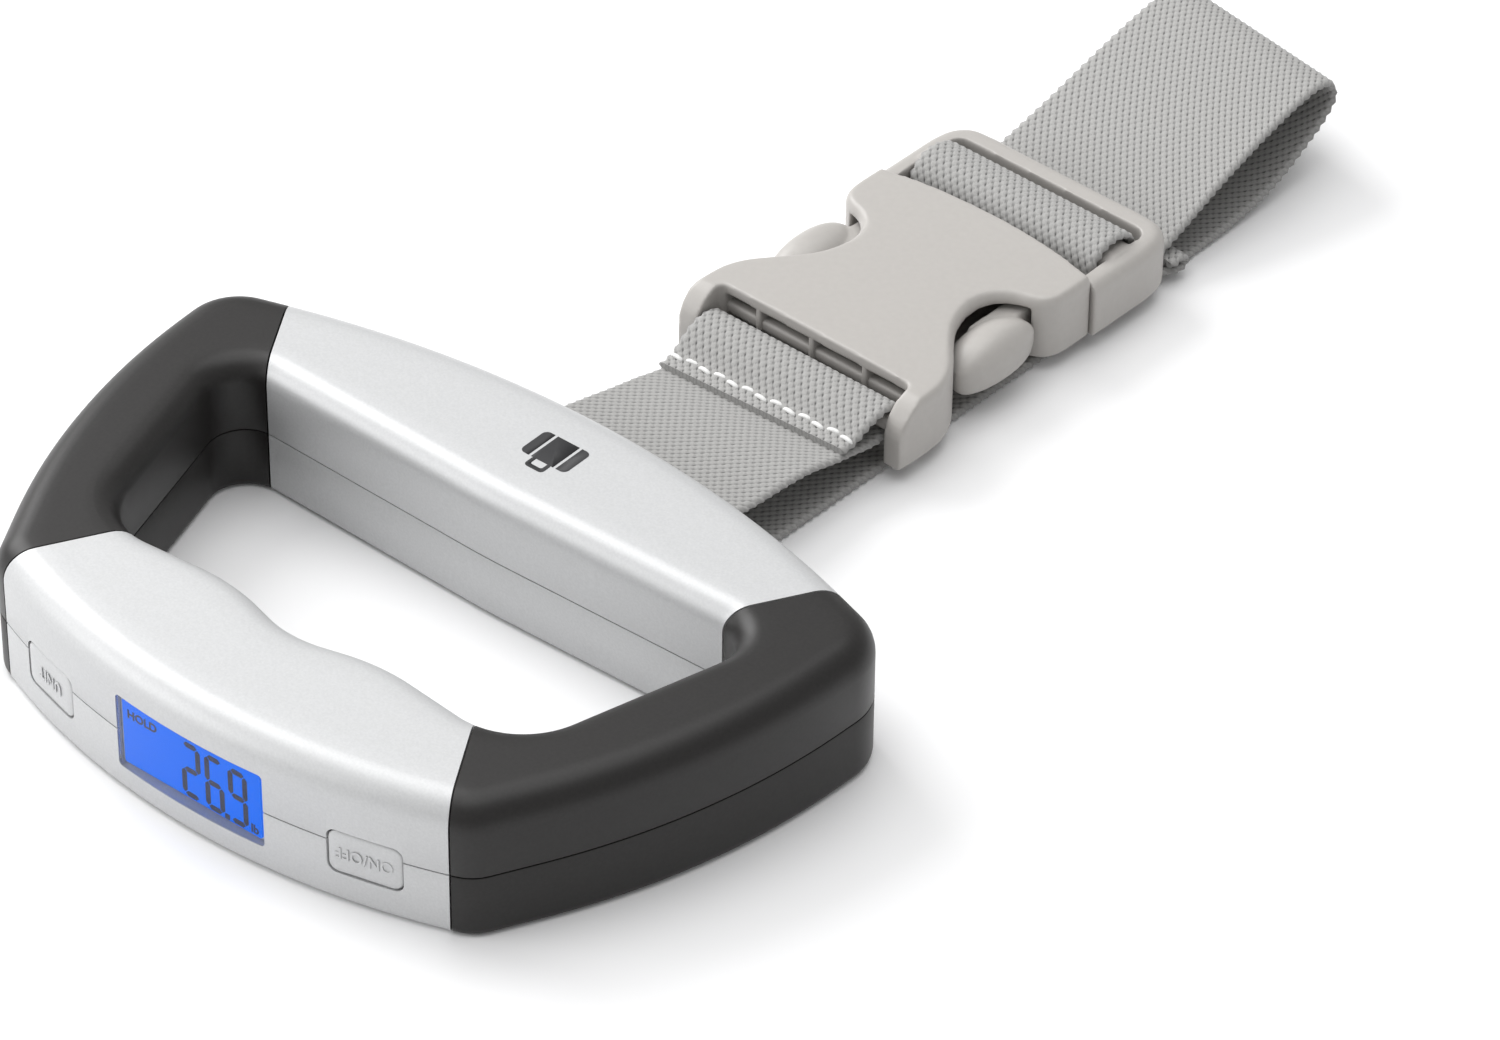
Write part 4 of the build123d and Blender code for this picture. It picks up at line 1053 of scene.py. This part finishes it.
def build_latch(side, label):
    """A prong with the domed oval pad that fills the notch."""
    rings, around = 14, 48

    def ring(grow, inset, z):
        points = []
        for i in range(around):
            a = 2 * math.pi * i / around
            out = math.cos(a)
            reach = PAD_OUT if out > 0 else PAD_IN
            x = PAD_X + (reach - inset) * grow * math.copysign(abs(out) ** 0.9, out)
            along = PAD_S + (PAD_LONG - inset) * grow * math.sin(a)
            points.append(strap_point(side * x, along, z))
        return points

    verts = []
    for k in range(rings):
        grow = math.sin(k / (rings - 1) * math.pi / 2)
        verts += ring(grow, 0, PAD_TOP - PAD_DOME * (1 - math.sqrt(1 - (grow * 0.96) ** 2)))
    for inset, rise in PAD_FOOT:
        verts += ring(1, inset, PAD_LOW + rise)
    rows = rings + len(PAD_FOOT)
    faces = [tuple(range(around)), tuple(range((rows - 1) * around, rows * around))[::-1]]
    faces += bands(rows, around)
    pad = make("pad", verts, faces, BUCKLE)
    triangulate_caps(pad, weld=1e-6)
    fix_normals(pad)
    inner, outer, tip, end = side * 13.7, side * 17.5, 76, 92.6
    arm = [(inner, tip), (outer, tip), (outer, end), (inner, end)]
    cut(pad, prism(arm, PRONG_LOW, PRONG_HIGH, strap_plan), "UNION")
    remesh(pad, 5, 0.35)
    root = prism(circle(ROOT_R, side * PRONG_X, ROOT_S, 32), PRONG_LOW, PRONG_HIGH, strap_plan)
    join_extras(pad, [root], f"latch_pad_{label}", f"latch_{label}", f"latch_arm_{label}")


build_latch(1, "right")
build_latch(-1, "left")


# ---------------------------------------------------------------- stitching
def stitches(name, centres, body, length=2.75, r=0.42):
    """A row of thread stitches. centres are (w, s, z, angle in the plan)."""
    verts, faces = [], []
    rings, seg = 9, 8
    for w, s, z, angle in centres:
        a0 = len(verts)
        cos, sin = math.cos(angle), math.sin(angle)
        for i in range(rings):
            t = -1 + 2 * i / (rings - 1)
            rr = r * math.sqrt(max(0.02, 1 - t**4))
            for k in range(seg):
                b = 2 * math.pi * k / seg
                du = t * length / 2
                dv = rr * math.cos(b)
                dz = rr * math.sin(b) * 0.8 - 0.25 * t * t
                verts.append(tuple(strap_point(w + du * cos - dv * sin, s + du * sin + dv * cos, z + dz)))
        for i in range(rings - 1):
            for k in range(seg):
                a, b = a0 + i * seg + k, a0 + i * seg + (k + 1) % seg
                faces.append((a, b, b + seg, a + seg))
        faces.append(tuple(a0 + k for k in range(seg))[::-1])
        faces.append(tuple(a0 + (rings - 1) * seg + k for k in range(seg)))
    o = make(name, verts, faces, THREAD, smooth=60)
    fix_normals(o)
    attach(o, body)


hem_row = []
for k in range(13):
    w = -17.6 + k * 35.2 / 12
    z = 8.6 + upper_twist(w, 43.0, 0)
    hem_row.append((w, 43.0 + (0.35 if k % 2 else -0.1), z, 0.12 if k % 2 else -0.1))
stitches("hem_stitches", hem_row, "strap")
tail_row = []
for k in range(12):
    w = -17.0 + k * 34 / 11
    tail_row.append((w, 118.3 + loop_skew(w, 118, 2.6), 3.35, 0.9 if k % 2 else -0.9))
stitches("tail_stitches", tail_row, "male", 2.4, 0.3)


# ---------------------------------------------------------------- printed mark on the back bar
def build_mark():
    """A plain suitcase pictogram, printed on the back bar's top."""
    mark_x, mark_y = 2.0, -3.0
    low, high = -0.05, 0.03
    case = rounded_rect(9.0, 6.2, 1.0, 0, 0, 5)
    grip = rounded_rect(3.6, 2.6, 0.7, 0, 4.0, 4)
    grip_in = rounded_rect(2.2, 2.6, 0.4, 0, 3.2, 4)

    def at(u, v, h):
        return ((mark_x + u) * MM, (mark_y - v) * MM, (TOP + h) * MM)

    body = prism(grip, low, high, at, "case_mark")
    cut(body, prism(grip_in, -1, 1, at))
    cut(body, prism(case, low, high, at), "UNION")
    for x in (-2.4, 2.4):
        cut(body, prism(rounded_rect(0.5, 8, 0.1, x, 0, 2), -1, 1, at))
    paint(body, PRINT)
    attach(body, "housing")


build_mark()


# ---------------------------------------------------------------- materials of the CAD nodes that stay
NODE_MATERIALS = {
    "lcd_panel": BLACK, "lcd_backlight": BLACK, "lcd_frame": BLACK, "zebra_strip": BLACK,
    "circuit_board": BOARD, "controller_chip": BLACK, "on_off_switch": BLACK, "unit_switch": BLACK,
    "battery_cell": JACKET, "battery_contact": STEEL, "battery_spring": STEEL, "battery_door": SILVER,
    "load_cell": ALLOY, "strain_gauges": FOIL, "load_cell_bolts": STEEL, "pull_yoke": STEEL,
    "yoke_screws": STEEL, "strap_pin": STEEL, "housing_screws": STEEL, "load_cell_wires": WIRE,
}
for name, material in NODE_MATERIALS.items():
    paint(nodes[name], material)
    shade(nodes[name], 30)

# ---------------------------------------------------------------- stage, light and camera
bpy.ops.mesh.primitive_plane_add(size=6, location=(0, 0, -0.00002))
floor = bpy.context.object
floor.name = "floor"
floor_material = principled("floor_white", (0.92, 0.92, 0.925), 0.35, Specular_IOR_Level=0.35)
floor.data.materials.append(floor_material)

world = bpy.context.scene.world or bpy.data.worlds.new("World")
bpy.context.scene.world = world
world.use_nodes = True
world.node_tree.nodes["Background"].inputs["Color"].default_value = (1, 1, 1, 1)
world.node_tree.nodes["Background"].inputs["Strength"].default_value = 0.5


def area_light(name, location, size, power):
    """A square light aimed at the origin."""
    data = bpy.data.lights.new(name, "AREA")
    data.energy = power
    data.size = size
    o = bpy.data.objects.new(name, data)
    o.location = location
    o.rotation_euler = (-Vector(location)).to_track_quat("-Z", "Y").to_euler()
    bpy.context.scene.collection.objects.link(o)


area_light("key", (-1.15, 0.1, 0.85), 0.9, 14)
area_light("fill", (-1.0, -1.1, 0.6), 0.9, 7)
area_light("top", (-0.1, 0.1, 1.5), 1.6, 15)

AZ, EL, ROLL = (math.radians(a) for a in (39.3, 38.4, 0.65))
CAMERA_AWAY, CAMERA_RIGHT, CAMERA_UP, FOCAL = 996, 80.0, 44.3, 164.95
AIM_Y = -80
back = Vector((math.sin(AZ) * math.cos(EL), -math.cos(AZ) * math.cos(EL), math.sin(EL)))
right = Vector((math.cos(AZ), math.sin(AZ), 0))
up = back.cross(right)
right_r = right * math.cos(ROLL) + up * math.sin(ROLL)
up_r = up * math.cos(ROLL) - right * math.sin(ROLL)
camera_data = bpy.data.cameras.new("camera")
camera_data.sensor_width = 36
camera_data.lens = FOCAL
camera_data.clip_start = 0.05
camera = bpy.data.objects.new("camera", camera_data)
bpy.context.scene.collection.objects.link(camera)
place = (back * CAMERA_AWAY + right_r * CAMERA_RIGHT + up_r * CAMERA_UP + Vector((0, AIM_Y, 0))) * MM
m = Matrix((right_r, up_r, back)).transposed().to_4x4()
m.translation = place
camera.matrix_world = m
bpy.context.scene.camera = camera

bpy.context.scene.view_settings.view_transform = "Standard"
